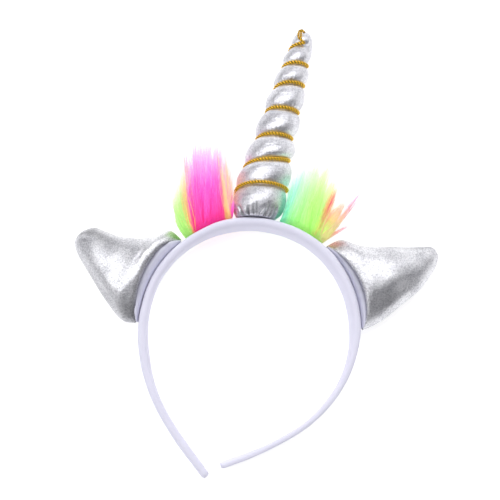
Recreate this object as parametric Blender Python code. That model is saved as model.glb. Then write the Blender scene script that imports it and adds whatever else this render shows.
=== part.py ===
"""Unicorn horn headband, modelled as it lies on its back.

Lengths in the tables are in millimetres and angles in degrees. Shapes are worked out in the
band's own plane: X to the right, Y towards the horn and H square to the plane, from the middle
of the head. That plane rises a little towards the horn, because the headband rests on the horn's
back, the ears' backs and the band's two ends. The finished solids stand in metres, with the
origin under the middle of their common box.
"""

import math

import bpy
import numpy as np

MILLIMETRE = 0.001

# How the headband lies
PLANE_RISE = 4.85
SEAM_GAP = 0.3

# Band: its middle line round the head, from the right end over the crown to the left end
BAND_COLUMNS = ("angle", "radius", "thickness", "width", "roll")
BAND_ROWS = (
    (-101.5, 82.6, 3.6, 8.6, 12.0),
    (-95.0, 77.9, 3.7, 9.0, 12.0),
    (-83.0, 72.1, 3.6, 9.4, 5.0),
    (-71.0, 68.5, 3.5, 9.8, 2.0),
    (-59.0, 66.6, 3.6, 10.4, 2.0),
    (-47.0, 65.3, 3.9, 11.0, 3.0),
    (-35.0, 64.7, 4.0, 11.8, 3.0),
    (-24.0, 64.4, 4.3, 12.6, 4.0),
    (-12.0, 64.2, 5.0, 13.6, 6.0),
    (0.0, 64.2, 5.8, 15.0, 8.0),
    (15.0, 64.3, 6.1, 16.0, 8.0),
    (30.0, 64.5, 6.2, 16.5, 8.0),
    (45.0, 64.7, 6.2, 17.0, 7.0),
    (60.0, 64.6, 6.1, 17.5, 6.0),
    (80.0, 64.2, 6.0, 18.0, 6.0),
    (100.0, 64.2, 6.0, 18.0, 6.0),
    (118.0, 63.8, 5.6, 17.0, 3.0),
    (135.0, 63.7, 5.4, 15.8, 1.0),
    (150.0, 63.6, 5.4, 15.0, 0.0),
    (165.0, 63.2, 5.5, 14.4, 0.0),
    (180.0, 63.4, 5.7, 13.8, 1.0),
    (192.0, 64.1, 5.8, 13.0, 2.0),
    (204.0, 66.0, 5.5, 12.0, 2.0),
    (216.0, 68.8, 5.2, 11.0, 0.0),
    (228.0, 72.7, 5.0, 10.2, 0.0),
    (240.0, 78.6, 5.2, 9.6, 0.0),
    (248.0, 84.4, 5.1, 9.0, 0.0),
    (254.3, 90.7, 4.7, 8.4, 0.0),
)
BAND_STATIONS = 56
BAND_END_ROUNDING = 2.4

# The band's section, inner face first, as shares of its thickness (out) and its width (up)
SECTION_COLUMNS = ("out", "up")
SECTION_ROWS = (
    (-0.50, -0.38),
    (-0.50, 0.00),
    (-0.50, 0.38),
    (-0.26, 0.48),
    (0.04, 0.50),
    (0.30, 0.45),
    (0.46, 0.30),
    (0.50, 0.00),
    (0.46, -0.30),
    (0.30, -0.45),
    (0.04, -0.50),
    (-0.26, -0.48),
)

# Horn: the point where its axis meets the band, and how the axis leans
HORN_FOOT = (4.4, 67.4, 1.1)
HORN_YAW = 14.2
HORN_DROOP = 9.8
HORN_COLUMNS_ROUND = 24
HORN_COLUMNS = ("along", "radius", "aside")
HORN_ROWS = (
    (0.0, 14.6, 0.0),
    (5.0, 15.8, 0.0),
    (10.0, 16.2, -0.6),
    (23.5, 16.3, -1.0),
    (39.0, 15.2, -0.9),
    (57.5, 13.2, -1.2),
    (75.5, 12.0, -0.7),
    (92.5, 10.5, -0.4),
    (108.5, 8.9, -0.2),
    (120.5, 7.4, 0.0),
    (126.5, 5.9, 0.0),
    (130.0, 3.6, 0.0),
    (131.6, 0.0, 0.0),
)
HORN_LENGTH = 131.6

# The gathered foot of the horn: rings by height over the band, radius and depth of the pleats
FOOT_COLUMNS = ("lift", "radius", "pleat")
FOOT_ROWS = (
    (0.0, 5.5, 0.0),
    (0.2, 10.2, 0.06),
    (2.4, 12.8, 0.07),
    (5.2, 14.6, 0.04),
)

# The rope's spiral: turns from the front of the horn, and where it is along the horn
SPIRAL_COLUMNS = ("turn", "along")
SPIRAL_ROWS = (
    (-0.50, 9.6),
    (-0.25, 14.0),
    (0.25, 22.8),
    (0.75, 30.4),
    (1.00, 35.4),
    (1.25, 42.2),
    (1.75, 50.2),
    (2.25, 57.0),
    (2.75, 70.4),
    (3.00, 72.2),
    (3.25, 75.2),
    (3.75, 87.1),
    (4.25, 94.2),
    (4.75, 102.8),
    (5.25, 108.4),
    (5.75, 116.4),
    (6.00, 120.0),
    (6.20, 121.6),
)
ROPE_END = 5.96
GROOVE_END = 6.12
GROOVE_FLOOR = 0.85
GROOVE_FADE = 0.2
GROOVE_COLUMNS = ("along", "depth")
GROOVE_ROWS = (
    (0.0, 2.2),
    (23.0, 2.4),
    (38.0, 4.5),
    (56.0, 4.3),
    (80.0, 3.7),
    (110.0, 3.1),
    (125.0, 2.6),
    (131.6, 2.0),
)
BULGE_SHARES = (0.10, 0.25, 0.50, 0.75, 0.90)
TIP_SHARES = (0.14, 0.34, 0.56, 0.76, 0.91)

# Rope
ROPE_RADIUS = 1.05
ROPE_SIDES = 5
LOOP_COLUMNS = ("along", "right", "front")
LOOP_ROWS = (
    (120.6, 1.3, 6.2),
    (120.9, 0.1, 7.8),
    (121.6, -1.8, 8.6),
    (123.0, -2.9, 8.4),
    (125.2, -3.3, 7.9),
    (127.3, -3.2, 7.6),
    (128.3, -2.1, 7.5),
    (128.0, -0.7, 7.4),
    (127.0, 0.1, 7.3),
)

# Lining strips between each ear and the band: depth out from the band, and reach down and up
STRIP_COLUMNS = ("angle", "depth", "low", "high")
STRIP_LEFT_ROWS = (
    (127.5, 0.9, -4.0, 4.0),
    (132.0, 4.2, -6.0, 5.0),
    (139.0, 6.2, -7.0, 5.5),
    (147.0, 6.2, -7.0, 5.5),
    (155.0, 5.6, -7.0, 5.2),
    (163.0, 4.6, -6.5, 5.0),
    (170.0, 3.2, -6.0, 4.6),
    (176.0, 1.2, -4.0, 4.0),
)
STRIP_RIGHT_ROWS = (
    (46.0, 0.9, -4.0, 4.0),
    (41.0, 2.2, -6.0, 5.0),
    (33.0, 3.6, -7.0, 5.5),
    (25.0, 4.4, -7.0, 5.5),
    (17.0, 4.6, -7.0, 5.2),
    (9.0, 3.8, -6.5, 5.0),
    (3.5, 2.4, -6.0, 4.6),
    (0.5, 1.1, -4.0, 4.0),
)
STRIP_STATIONS = 10

# Ears: upper edge, lower edge, half thickness, middle height and outward bow of each section
EAR_COLUMNS = ("reach", "upper_x", "upper_y", "lower_x", "lower_y", "half", "middle", "bow")
EAR_LEFT_ROWS = (
    (0.12, -47.6, 60.4, -73.6, 4.4, 12.4, -1.0, 7.0),
    (0.25, -55.4, 57.0, -78.8, 8.0, 13.0, -1.4, 4.6),
    (0.40, -66.0, 55.8, -84.0, 14.4, 12.4, -2.2, 2.6),
    (0.55, -77.0, 56.9, -89.6, 22.4, 11.0, -3.2, 1.4),
    (0.70, -87.0, 60.4, -95.6, 32.0, 9.0, -4.6, 0.8),
    (0.82, -94.8, 63.2, -100.6, 40.0, 7.0, -6.0, 0.4),
    (0.92, -100.6, 61.8, -104.3, 46.4, 5.0, -7.2, 0.3),
    (0.98, -104.6, 58.8, -106.1, 50.6, 3.2, -8.0, 0.2),
    (1.00, -106.0, 56.6, -106.6, 53.0, 1.6, -8.2, 0.1),
)
EAR_RIGHT_ROWS = (
    (0.12, 56.2, 54.8, 74.0, 1.6, 11.8, -1.0, 6.4),
    (0.25, 64.6, 52.2, 80.0, 4.9, 12.6, -1.4, 4.2),
    (0.40, 75.4, 50.4, 87.6, 10.6, 12.2, -2.2, 2.4),
    (0.55, 86.0, 51.0, 95.6, 17.2, 10.8, -3.2, 1.3),
    (0.70, 96.8, 50.8, 103.0, 23.2, 8.8, -4.6, 0.7),
    (0.82, 105.2, 51.2, 108.2, 29.4, 6.8, -6.0, 0.4),
    (0.92, 111.4, 51.4, 112.4, 35.4, 5.0, -7.2, 0.3),
    (0.98, 114.7, 49.6, 114.9, 39.4, 3.2, -8.0, 0.2),
    (1.00, 116.1, 47.0, 116.3, 43.4, 1.6, -8.2, 0.1),
)
EAR_BASE_HALF = 11.0
EAR_BASE_MIDDLE = -0.6
EAR_BASE_MARGIN = 0.8
EAR_STEPS_ACROSS = 11

# Dents pressed into the front of each padded ear: where, how wide and how deep
DENT_COLUMNS = ("reach", "across", "size_reach", "size_across", "depth")
DENT_LEFT_ROWS = (
    (0.10, 0.55, 0.10, 0.30, 2.2),
    (0.45, 0.12, 0.22, 0.16, 1.6),
    (0.20, 0.90, 0.14, 0.14, 1.8),
)
DENT_RIGHT_ROWS = (
    (0.12, 0.45, 0.08, 0.30, 1.6),
    (0.40, 0.72, 0.24, 0.12, 2.0),
    (0.10, 0.10, 0.12, 0.12, 1.4),
)

# Fur: length, lean to the right, sideways bow and droop of the locks along each tuft's seat
FUR_COLUMNS = ("angle", "length", "lean", "bow", "droop")
FUR_LEFT_ROWS = (
    (124.2, 31.0, -10.0, -4.0, 4.0),
    (121.0, 44.0, -7.0, -3.8, 5.0),
    (116.0, 49.0, -3.5, -2.2, 6.0),
    (111.0, 48.0, -1.5, -1.2, 6.0),
    (106.0, 44.0, 0.0, -0.6, 5.0),
    (101.5, 38.0, 1.0, -0.3, 4.0),
    (98.4, 29.0, -1.0, 0.0, 3.0),
)
FUR_RIGHT_ROWS = (
    (73.6, 28.0, 15.0, 1.6, 3.0),
    (70.0, 34.0, 14.0, 1.0, 4.0),
    (65.0, 37.0, 18.0, 0.4, 5.0),
    (60.0, 39.0, 23.0, 0.0, 5.0),
    (55.0, 35.0, 32.0, -0.4, 5.0),
    (51.5, 29.0, 41.0, -0.6, 4.0),
    (49.4, 17.0, 47.0, -0.6, 3.0),
)
FUR_LOCKS_ALONG = 8
FUR_SEAT_HEIGHTS = (-5.5, 0.0, 5.5)
FUR_SEAT_THICKNESS = 1.4
FUR_SPREAD = 0.35
LOCK_COLUMNS = ("reach", "fill")
LOCK_ROWS = (
    (0.00, 0.96),
    (0.32, 0.97),
    (0.62, 0.93),
    (0.86, 0.62),
)
LOCK_LENGTHS = (1.00, 0.92, 0.98, 0.89, 1.00, 0.95, 0.90)

MATERIAL_COLUMNS = ("name", "colour", "metallic", "roughness")
MATERIAL_ROWS = (
    ("lavender_satin", (0.76, 0.75, 0.91), 0.0, 0.45),
    ("silver_lame", (0.72, 0.72, 0.75), 0.9, 0.32),
    ("gold_rope", (0.83, 0.55, 0.12), 0.9, 0.30),
    ("ear_silver", (0.72, 0.72, 0.75), 0.9, 0.34),
    ("pale_lining", (0.62, 0.61, 0.74), 0.0, 0.80),
    ("pink_fur", (0.98, 0.14, 0.46), 0.0, 0.70),
    ("lime_fur", (0.45, 0.95, 0.25), 0.0, 0.70),
)


def smooth(columns, rows):
    """A reader of a table: any column at any value of its first column, on curves without overshoot."""
    table = np.array(sorted(rows), dtype=float)
    keys = table[:, 0]
    steps = np.diff(keys)

    def read(name, at):
        values = table[:, columns.index(name)]
        slopes = np.diff(values) / steps
        tangents = np.zeros(len(keys))
        tangents[0] = slopes[0]
        tangents[-1] = slopes[-1]
        for inner in range(1, len(keys) - 1):
            before, after = slopes[inner - 1], slopes[inner]
            if before * after > 0:
                tangents[inner] = 2 * before * after / (before + after)
        at = float(min(max(at, keys[0]), keys[-1]))
        row = int(min(np.searchsorted(keys, at, side="right") - 1, len(steps) - 1))
        share = (at - keys[row]) / steps[row]
        return float(
            (1 + 2 * share) * (1 - share) ** 2 * values[row]
            + share * (1 - share) ** 2 * steps[row] * tangents[row]
            + share ** 2 * (3 - 2 * share) * values[row + 1]
            + share ** 2 * (share - 1) * steps[row] * tangents[row + 1]
        )

    return read


class BandPath:
    """The band's middle line by length, with the section's frame at each place."""

    def __init__(self):
        self.read = smooth(BAND_COLUMNS, BAND_ROWS)
        self.angles = np.linspace(BAND_ROWS[0][0], BAND_ROWS[-1][0], 1425)
        radii = np.array([self.read("radius", angle) for angle in self.angles])
        self.x = radii * np.cos(np.radians(self.angles))
        self.y = radii * np.sin(np.radians(self.angles))
        runs = np.hypot(np.diff(self.x), np.diff(self.y))
        self.arc = np.concatenate(([0.0], np.cumsum(runs)))
        self.length = float(self.arc[-1])

    def arc_at(self, angle):
        return float(np.interp(angle, self.angles, self.arc))

    def point(self, arc, out, up):
        """The point that lies out from the middle line and up the width, in the rolled section."""
        angle = float(np.interp(arc, self.arc, self.angles))
        behind = max(arc - 1.0, 0.0)
        ahead = min(arc + 1.0, self.length)
        run_x = np.interp(ahead, self.arc, self.x) - np.interp(behind, self.arc, self.x)
        run_y = np.interp(ahead, self.arc, self.y) - np.interp(behind, self.arc, self.y)
        size = math.hypot(run_x, run_y)
        roll = math.radians(self.read("roll", angle))
        outward = out * math.cos(roll) + up * math.sin(roll)
        upward = up * math.cos(roll) - out * math.sin(roll)
        x = np.interp(arc, self.arc, self.x) + outward * run_y / size
        y = np.interp(arc, self.arc, self.y) - outward * run_x / size
        return np.array((x, y, upward))

    def over(self, angle, height, up):
        """A point at a height over the band's outer face, at an angle round the head."""
        half = self.read("thickness", angle) / 2
        return self.point(self.arc_at(angle), half + height, up)

    def outer_radius(self, angle):
        return self.read("radius", angle) + self.read("thickness", angle) / 2


def loft(rings, capped=True):
    """Points and faces of a closed tube through rings of equal count."""
    count = len(rings[0])
    points = [point for ring in rings for point in ring]
    faces = []
    for row in range(len(rings) - 1):
        for step in range(count):
            following = (step + 1) % count
            low = row * count
            high = low + count
            faces.append((low + step, low + following, high + following, high + step))
    if capped:
        for row, turned in ((0, True), (len(rings) - 1, False)):
            points.append(np.mean(rings[row], axis=0))
            middle = len(points) - 1
            for step in range(count):
                edge = (row * count + step, row * count + (step + 1) % count)
                faces.append((middle, edge[1], edge[0]) if turned else (middle, edge[0], edge[1]))
    return points, faces


def band_shape(band):
    rounding = BAND_END_ROUNDING
    arcs = list(np.linspace(rounding, band.length - rounding, BAND_STATIONS))
    ends = [0.0, 0.25 * rounding, 0.6 * rounding]
    arcs = ends + arcs + [band.length - end for end in reversed(ends)]
    rings = []
    for arc in arcs:
        angle = float(np.interp(arc, band.arc, band.angles))
        nearness = min(arc, band.length - arc, rounding) / rounding
        scale = 0.55 + 0.45 * math.sqrt(1 - (1 - nearness) ** 2)
        thickness = band.read("thickness", angle) * scale
        width = band.read("width", angle) * scale
        rings.append([band.point(arc, out * thickness, up * width) for out, up in SECTION_ROWS])
    return loft(rings)


class HornAxis:
    """The horn's bent axis, with its right and front directions."""

    def __init__(self):
        self.read = smooth(HORN_COLUMNS, HORN_ROWS)
        self.groove = smooth(GROOVE_COLUMNS, GROOVE_ROWS)
        yaw = math.radians(HORN_YAW)
        droop = math.radians(HORN_DROOP)
        level = math.cos(droop)
        self.along = np.array((level * math.sin(yaw), level * math.cos(yaw), -math.sin(droop)))
        front = np.array((0.0, 0.0, 1.0)) + self.along * math.sin(droop)
        self.front = front / np.linalg.norm(front)
        self.right = np.cross(self.along, self.front)
        spiral = smooth(SPIRAL_COLUMNS, SPIRAL_ROWS)
        self.turns = np.linspace(SPIRAL_ROWS[0][0], SPIRAL_ROWS[-1][0], 1301)
        self.spiral = np.array([spiral("along", turn) for turn in self.turns])

    def place(self, along, right, front):
        middle = np.array(HORN_FOOT) + self.along * along
        aside = self.read("aside", along)
        return middle + self.right * (right + aside) + self.front * front

    def round(self, along, radius, turn):
        angle = 2 * math.pi * turn
        return self.place(along, radius * math.sin(angle), radius * math.cos(angle))

    def along_at(self, turn):
        return float(np.interp(turn, self.turns, self.spiral))

    def turn_at(self, along):
        """The spiral's turn at a place along the horn, carried on straight past both its ends."""
        if along < self.spiral[0]:
            return self.turns[0] - (self.spiral[0] - along) / 17.0
        if along > self.spiral[-1]:
            return self.turns[-1] + (along - self.spiral[-1]) / 12.0
        return float(np.interp(along, self.spiral, self.turns))

    def floor_radius(self, turn):
        """Radius of the groove's floor, which rises to the surface where the rope starts."""
        along = self.along_at(turn)
        sunk = min((turn - self.turns[0]) / GROOVE_FADE, 1.0)
        return self.read("radius", along) - self.groove("depth", along) * (0.25 + 0.75 * sunk)


def bulge(share):
    """How far the cloth swells between two turns of the rope, from 0 at each to 1 midway."""
    return (1 - abs(2 * share - 1) ** 2.4) ** 0.62


def horn_column(horn, band, column):
    """One line of points up the horn: (key for matching with its neighbour, point) from foot to tip."""
    turn = column / HORN_COLUMNS_ROUND - 0.5
    line = []
    for number, (lift, radius, pleat) in enumerate(FOOT_ROWS):
        radius *= 1 - pleat * (column % 2)
        along = 0.0
        for _ in range(4):
            point = horn.round(along, radius, turn)
            angle = math.degrees(math.atan2(point[1], point[0]))
            target = band.outer_radius(angle) + SEAM_GAP + 0.15 + lift
            along += target - math.hypot(point[0], point[1])
        line.append((-4.0 + 0.25 * number, horn.round(along, radius, turn), along))
    grooves = []
    whole = 0
    while turn + whole <= GROOVE_END:
        grooves.append(turn + whole)
        whole += 1

    def add(along, radius):
        line.append((horn.turn_at(along) - turn, horn.round(along, radius, turn), along))

    below = line[-1][2]
    start = horn.along_at(grooves[0]) - GROOVE_FLOOR
    floor = horn.floor_radius(grooves[0])
    span = start - below
    for share in (0.25, 0.5, 0.75, 0.9):
        if (1 - share) * span < 0.4 or share * span < 0.4:
            continue
        along = below + share * span
        swell = bulge(0.5 + 0.5 * share) if span > 6 else 1 - share ** 3
        add(along, floor + (horn.read("radius", along) - floor) * swell)
    for number, groove in enumerate(grooves):
        middle = horn.along_at(groove)
        floor = horn.floor_radius(groove)
        add(middle - GROOVE_FLOOR, floor)
        add(middle + GROOVE_FLOOR, floor)
        start = middle + GROOVE_FLOOR
        if number + 1 < len(grooves):
            end = horn.along_at(grooves[number + 1]) - GROOVE_FLOOR
            next_floor = horn.floor_radius(grooves[number + 1])
            for share in BULGE_SHARES:
                along = start + share * (end - start)
                base = floor + share * (next_floor - floor)
                add(along, base + (horn.read("radius", along) - base) * bulge(share))
        else:
            for share in TIP_SHARES:
                along = start + share * (HORN_LENGTH - start)
                swell = bulge(min(share * 0.8, 0.5))
                base = min(floor, horn.read("radius", along))
                add(along, base + (horn.read("radius", along) - base) * swell)
    return line


def horn_shape(horn, band):
    """The horn's skin: neighbouring columns are joined so that the folds run along the rope."""
    columns = [horn_column(horn, band, column) for column in range(HORN_COLUMNS_ROUND)]
    points = []
    numbered = []
    for column in columns:
        numbered.append([(key, len(points) + step) for step, (key, _, _) in enumerate(column)])
        points.extend(point for _, point, _ in column)
    foot = len(points)
    points.append(np.mean([column[0][1] for column in columns], axis=0))
    points.append(horn.place(HORN_LENGTH, 0.0, 0.0))
    tip = foot + 1
    faces = []
    for number, left in enumerate(numbered):
        right = numbered[(number + 1) % len(numbered)]
        if number + 1 == len(numbered):
            feet = len(FOOT_ROWS)
            right = right[:feet] + [(key - 1.0, index) for key, index in right[feet:]]
        faces.append((foot, left[0][1], right[0][1]))
        low, high = 0, 0
        while low + 1 < len(left) or high + 1 < len(right):
            step_left = low + 1 < len(left)
            if step_left and high + 1 < len(right):
                step_left = left[low + 1][0] + left[low][0] <= right[high + 1][0] + right[high][0]
            if step_left:
                faces.append((left[low][1], left[low + 1][1], right[high][1]))
                low += 1
            else:
                faces.append((left[low][1], right[high + 1][1], right[high][1]))
                high += 1
        faces.append((left[-1][1], tip, right[-1][1]))
    return points, faces


def tube(path, radius, sides):
    """A round tube along a path of points, with a frame carried on without twist."""
    rings = []
    side = np.array((0.0, 0.0, 1.0))
    for number, point in enumerate(path):
        ahead = path[min(number + 1, len(path) - 1)]
        behind = path[max(number - 1, 0)]
        run = (ahead - behind) / np.linalg.norm(ahead - behind)
        side = side - run * np.dot(side, run)
        side = side / np.linalg.norm(side)
        other = np.cross(run, side)
        ring = []
        for step in range(sides):
            angle = 2 * math.pi * step / sides
            ring.append(point + radius * (math.cos(angle) * side + math.sin(angle) * other))
        rings.append(ring)
    return loft(rings)


def rope_shape(horn):
    """The rope along the groove's floor and then up into the loop at the tip."""
    path = []
    steps = int((ROPE_END - SPIRAL_ROWS[0][0]) * HORN_COLUMNS_ROUND)
    for step in range(steps + 1):
        turn = SPIRAL_ROWS[0][0] + step / HORN_COLUMNS_ROUND
        radius = horn.floor_radius(turn) + SEAM_GAP + ROPE_RADIUS + 0.1
        path.append(horn.round(horn.along_at(turn), radius, turn))
    corners = [path[-1]] + [horn.place(along, right, front) for along, right, front in LOOP_ROWS]
    for number in range(len(corners) - 1):
        before = corners[max(number - 1, 0)]
        start, end = corners[number], corners[number + 1]
        after = corners[min(number + 2, len(corners) - 1)]
        for share in (0.5, 1.0):
            path.append(
                0.5 * (2 * start + share * (end - before)
                       + share ** 2 * (2 * before - 5 * start + 4 * end - after)
                       + share ** 3 * (3 * start - before - 3 * end + after))
            )
    return tube(path, ROPE_RADIUS, ROPE_SIDES)


def strip_shape(band, rows):
    """A padded lining strip that lies along the band's outer face."""
    read = smooth(STRIP_COLUMNS, rows)
    rings = []
    for angle in np.linspace(rows[0][0], rows[-1][0], STRIP_STATIONS):
        depth = read("depth", angle)
        low, high = read("low", angle), read("high", angle)
        near = SEAM_GAP + 0.15
        far = near + depth
        ring = [
            (near, low + 0.12 * (high - low)),
            (near, high - 0.12 * (high - low)),
            (near + 0.35 * depth, high),
            (near + 0.75 * depth, high - 0.02 * (high - low)),
            (far, high - 0.2 * (high - low)),
            (far, low + 0.2 * (high - low)),
            (near + 0.75 * depth, low + 0.02 * (high - low)),
            (near + 0.35 * depth, low),
        ]
        rings.append([band.over(angle, height, up) for height, up in ring])
    return loft(rings)


def ear_profile(across):
    """Share of the half thickness across an ear, from 0 at one edge to 1 in the middle."""
    return max(1 - abs(2 * across - 1) ** 2.3, 0.0) ** 0.62


def dent_depth(rows, reach, across):
    total = 0.0
    for at_reach, at_across, size_reach, size_across, depth in rows:
        away = ((reach - at_reach) / size_reach) ** 2 + ((across - at_across) / size_across) ** 2
        total += depth * math.exp(-away)
    return total


def ear_shape(band, rows, strip_rows, dents):
    """A padded ear: sections from the band to the tip, each a flat oval with a seam at both edges."""
    strip = smooth(STRIP_COLUMNS, strip_rows)
    shares = 0.5 - 0.5 * np.cos(np.linspace(0.0, math.pi, EAR_STEPS_ACROSS))
    first, last = strip_rows[0][0], strip_rows[-1][0]
    overhang = math.copysign(EAR_BASE_MARGIN, last - first)
    middle_angle = math.radians((first + last) / 2)
    outward = np.array((math.cos(middle_angle), math.sin(middle_angle)))
    front, back = [], []
    for across in shares:
        angle = first - overhang + across * (last - first + 2 * overhang)
        height = 2 * SEAM_GAP + 0.35 + strip("depth", angle)
        lift = EAR_BASE_HALF * ear_profile(across)
        front.append(band.over(angle, height, EAR_BASE_MIDDLE + lift))
        back.append(band.over(angle, height, EAR_BASE_MIDDLE - lift))
    rings = [front + back[-2:0:-1]]
    for reach, upper_x, upper_y, lower_x, lower_y, half, middle, bow in rows:
        front, back = [], []
        for across in shares:
            chord = np.array((upper_x, upper_y)) * (1 - across) + np.array((lower_x, lower_y)) * across
            x, y = chord + 4 * bow * across * (1 - across) * outward
            lift = half * ear_profile(across)
            pressed = dent_depth(dents, reach, across) * ear_profile(across)
            front.append(np.array((x, y, middle + lift - pressed)))
            back.append(np.array((x, y, middle - lift)))
        rings.append(front + back[-2:0:-1])
    return rings


def ear_faces(rings):
    """Joins the ear's sections, with both ends closed like ladders between front and back."""
    count = len(rings[0])
    points, faces = loft(rings, capped=False)
    half = count // 2
    for row, turned in ((0, True), (len(rings) - 1, False)):
        start = row * count
        for step in range(half):
            near = start + step
            far = start + (count - step) % count
            near_next = start + step + 1
            far_next = start + (count - step - 1) % count
            corners = [near, near_next, far_next, far]
            kept = [corner for number, corner in enumerate(corners) if corner not in corners[:number]]
            faces.append(tuple(reversed(kept)) if turned else tuple(kept))
    return points, faces


def fur_shape(band, rows):
    """A tuft: a backing strip on the band with rows of tapered locks grown out of it."""
    read = smooth(FUR_COLUMNS, rows)
    lock = smooth(LOCK_COLUMNS, LOCK_ROWS)
    edges = np.linspace(rows[0][0], rows[-1][0], FUR_LOCKS_ALONG + 1)
    heights = FUR_SEAT_HEIGHTS
    near = SEAM_GAP + 0.15
    far = near + FUR_SEAT_THICKNESS

    def strand(angle, up, reach, stretch):
        """A place on the curve that starts at the backing and runs out as the fur does."""
        root = band.over(angle, far, up)
        lean = math.radians(read("lean", angle))
        ahead = np.array((math.sin(lean), math.cos(lean), 0.0))
        aside = np.array((math.cos(lean), -math.sin(lean), 0.0))
        swell = math.sin(math.pi * reach)
        rise = up * FUR_SPREAD * swell - read("droop", angle) * reach ** 1.5
        point = root + ahead * read("length", angle) * stretch * reach
        return point + aside * read("bow", angle) * swell + np.array((0.0, 0.0, rise))

    points = []
    faces = []
    rows_up = len(heights)
    for height in (near, far):
        for angle in edges:
            points.extend(band.over(angle, height, up) for up in heights)
    outer = len(edges) * rows_up

    def corner(layer, along, up):
        return layer * outer + along * rows_up + up

    for along in range(FUR_LOCKS_ALONG):
        for up in range(rows_up - 1):
            cell = [(along, up), (along + 1, up), (along + 1, up + 1), (along, up + 1)]
            faces.append(tuple(corner(0, *place) for place in cell))
            base = [corner(1, *place) for place in cell]
            stretch = LOCK_LENGTHS[(2 * along + 3 * up) % len(LOCK_LENGTHS)]
            ring_before = base
            for number, (reach, fill) in enumerate(LOCK_ROWS):
                ends = [strand(edges[a], heights[u], reach, stretch) for a, u in cell]
                middle = np.mean(ends, axis=0)
                ring = []
                for end in ends:
                    points.append(middle + lock("fill", reach) * (end - middle))
                    ring.append(len(points) - 1)
                for side in range(4):
                    other = (side + 1) % 4
                    faces.append((ring_before[other], ring_before[side], ring[side], ring[other]))
                ring_before = ring
            ends = [strand(edges[a], heights[u], 1.0, stretch) for a, u in cell]
            points.append(np.mean(ends, axis=0))
            tip = len(points) - 1
            for side in range(4):
                faces.append((ring_before[(side + 1) % 4], ring_before[side], tip))
    rim = [(along, 0) for along in range(FUR_LOCKS_ALONG + 1)]
    rim += [(FUR_LOCKS_ALONG, up) for up in range(1, rows_up)]
    rim += [(along, rows_up - 1) for along in range(FUR_LOCKS_ALONG - 1, -1, -1)]
    rim += [(0, up) for up in range(rows_up - 2, 0, -1)]
    for place, after in zip(rim, rim[1:] + rim[:1]):
        faces.append((corner(0, *after), corner(0, *place), corner(1, *place), corner(1, *after)))
    return points, faces


def lay_down(point):
    """From the band's plane to the ground that the headband lies on."""
    rise = math.radians(PLANE_RISE)
    x, y, height = point
    return np.array((
        x,
        y * math.cos(rise) - height * math.sin(rise),
        y * math.sin(rise) + height * math.cos(rise),
    ))


def signed_volume(points, faces):
    total = 0.0
    for face in faces:
        for number in range(1, len(face) - 1):
            a, b, c = points[face[0]], points[face[number]], points[face[number + 1]]
            total += float(np.dot(a, np.cross(b, c)))
    return total / 6


def make_materials():
    materials = {}
    for name, colour, metallic, roughness in MATERIAL_ROWS:
        material = bpy.data.materials.new(name)
        material.use_nodes = True
        shader = material.node_tree.nodes["Principled BSDF"]
        shader.inputs["Base Color"].default_value = (*colour, 1.0)
        shader.inputs["Metallic"].default_value = metallic
        shader.inputs["Roughness"].default_value = roughness
        materials[name] = material
    return materials


def make_object(name, points, faces, material, shift):
    """One closed body whose faces look outwards, split into triangles."""
    if signed_volume(points, faces) < 0:
        faces = [tuple(reversed(face)) for face in faces]
    triangles = []
    for face in faces:
        triangles.extend((face[0], face[step], face[step + 1]) for step in range(1, len(face) - 1))
    mesh = bpy.data.meshes.new(name)
    places = [tuple((point + shift) * MILLIMETRE) for point in points]
    mesh.from_pydata(places, [], triangles)
    mesh.materials.append(material)
    mesh.validate()
    mesh.update()
    piece = bpy.data.objects.new(name, mesh)
    bpy.context.scene.collection.objects.link(piece)


def main():
    for old in list(bpy.data.objects):
        bpy.data.objects.remove(old, do_unlink=True)
    materials = make_materials()
    band = BandPath()
    horn = HornAxis()
    left_ear = ear_faces(ear_shape(band, EAR_LEFT_ROWS, STRIP_LEFT_ROWS, DENT_LEFT_ROWS))
    right_ear = ear_faces(ear_shape(band, EAR_RIGHT_ROWS, STRIP_RIGHT_ROWS, DENT_RIGHT_ROWS))
    shapes = {
        "band": (band_shape(band), "lavender_satin"),
        "horn": (horn_shape(horn, band), "silver_lame"),
        "gold_cord": (rope_shape(horn), "gold_rope"),
        "ear_left": (left_ear, "ear_silver"),
        "ear_right": (right_ear, "ear_silver"),
        "ear_base_left": (strip_shape(band, STRIP_LEFT_ROWS), "pale_lining"),
        "ear_base_right": (strip_shape(band, STRIP_RIGHT_ROWS), "pale_lining"),
        "fur_left": (fur_shape(band, FUR_LEFT_ROWS), "pink_fur"),
        "fur_right": (fur_shape(band, FUR_RIGHT_ROWS), "lime_fur"),
    }
    laid = {}
    for name, ((points, faces), material) in shapes.items():
        laid[name] = ([lay_down(point) for point in points], faces, material)
    every_point = np.array([point for points, _, _ in laid.values() for point in points])
    low, high = every_point.min(axis=0), every_point.max(axis=0)
    shift = -np.array(((low[0] + high[0]) / 2, (low[1] + high[1]) / 2, low[2]))
    for name, (points, faces, material) in laid.items():
        make_object(name, points, faces, materials[material], shift)


main()
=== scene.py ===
"""Unicorn horn headband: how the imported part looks.

Lengths in the tables are in millimetres and angles in degrees, in the band's own plane, as in the
part's source: X to the right, Y towards the horn and H square to the plane. Each piece is built
there and laid down on the ground in metres.
"""

import math

import bpy
import numpy as np
from mathutils import Euler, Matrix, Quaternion


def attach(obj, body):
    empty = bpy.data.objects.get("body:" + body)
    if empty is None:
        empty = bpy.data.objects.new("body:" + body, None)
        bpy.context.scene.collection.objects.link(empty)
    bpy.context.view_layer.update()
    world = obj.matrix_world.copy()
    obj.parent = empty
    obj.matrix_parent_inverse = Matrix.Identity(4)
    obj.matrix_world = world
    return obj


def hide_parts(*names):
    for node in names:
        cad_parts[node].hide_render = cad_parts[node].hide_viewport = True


MILLIMETRE = 0.001

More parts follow.
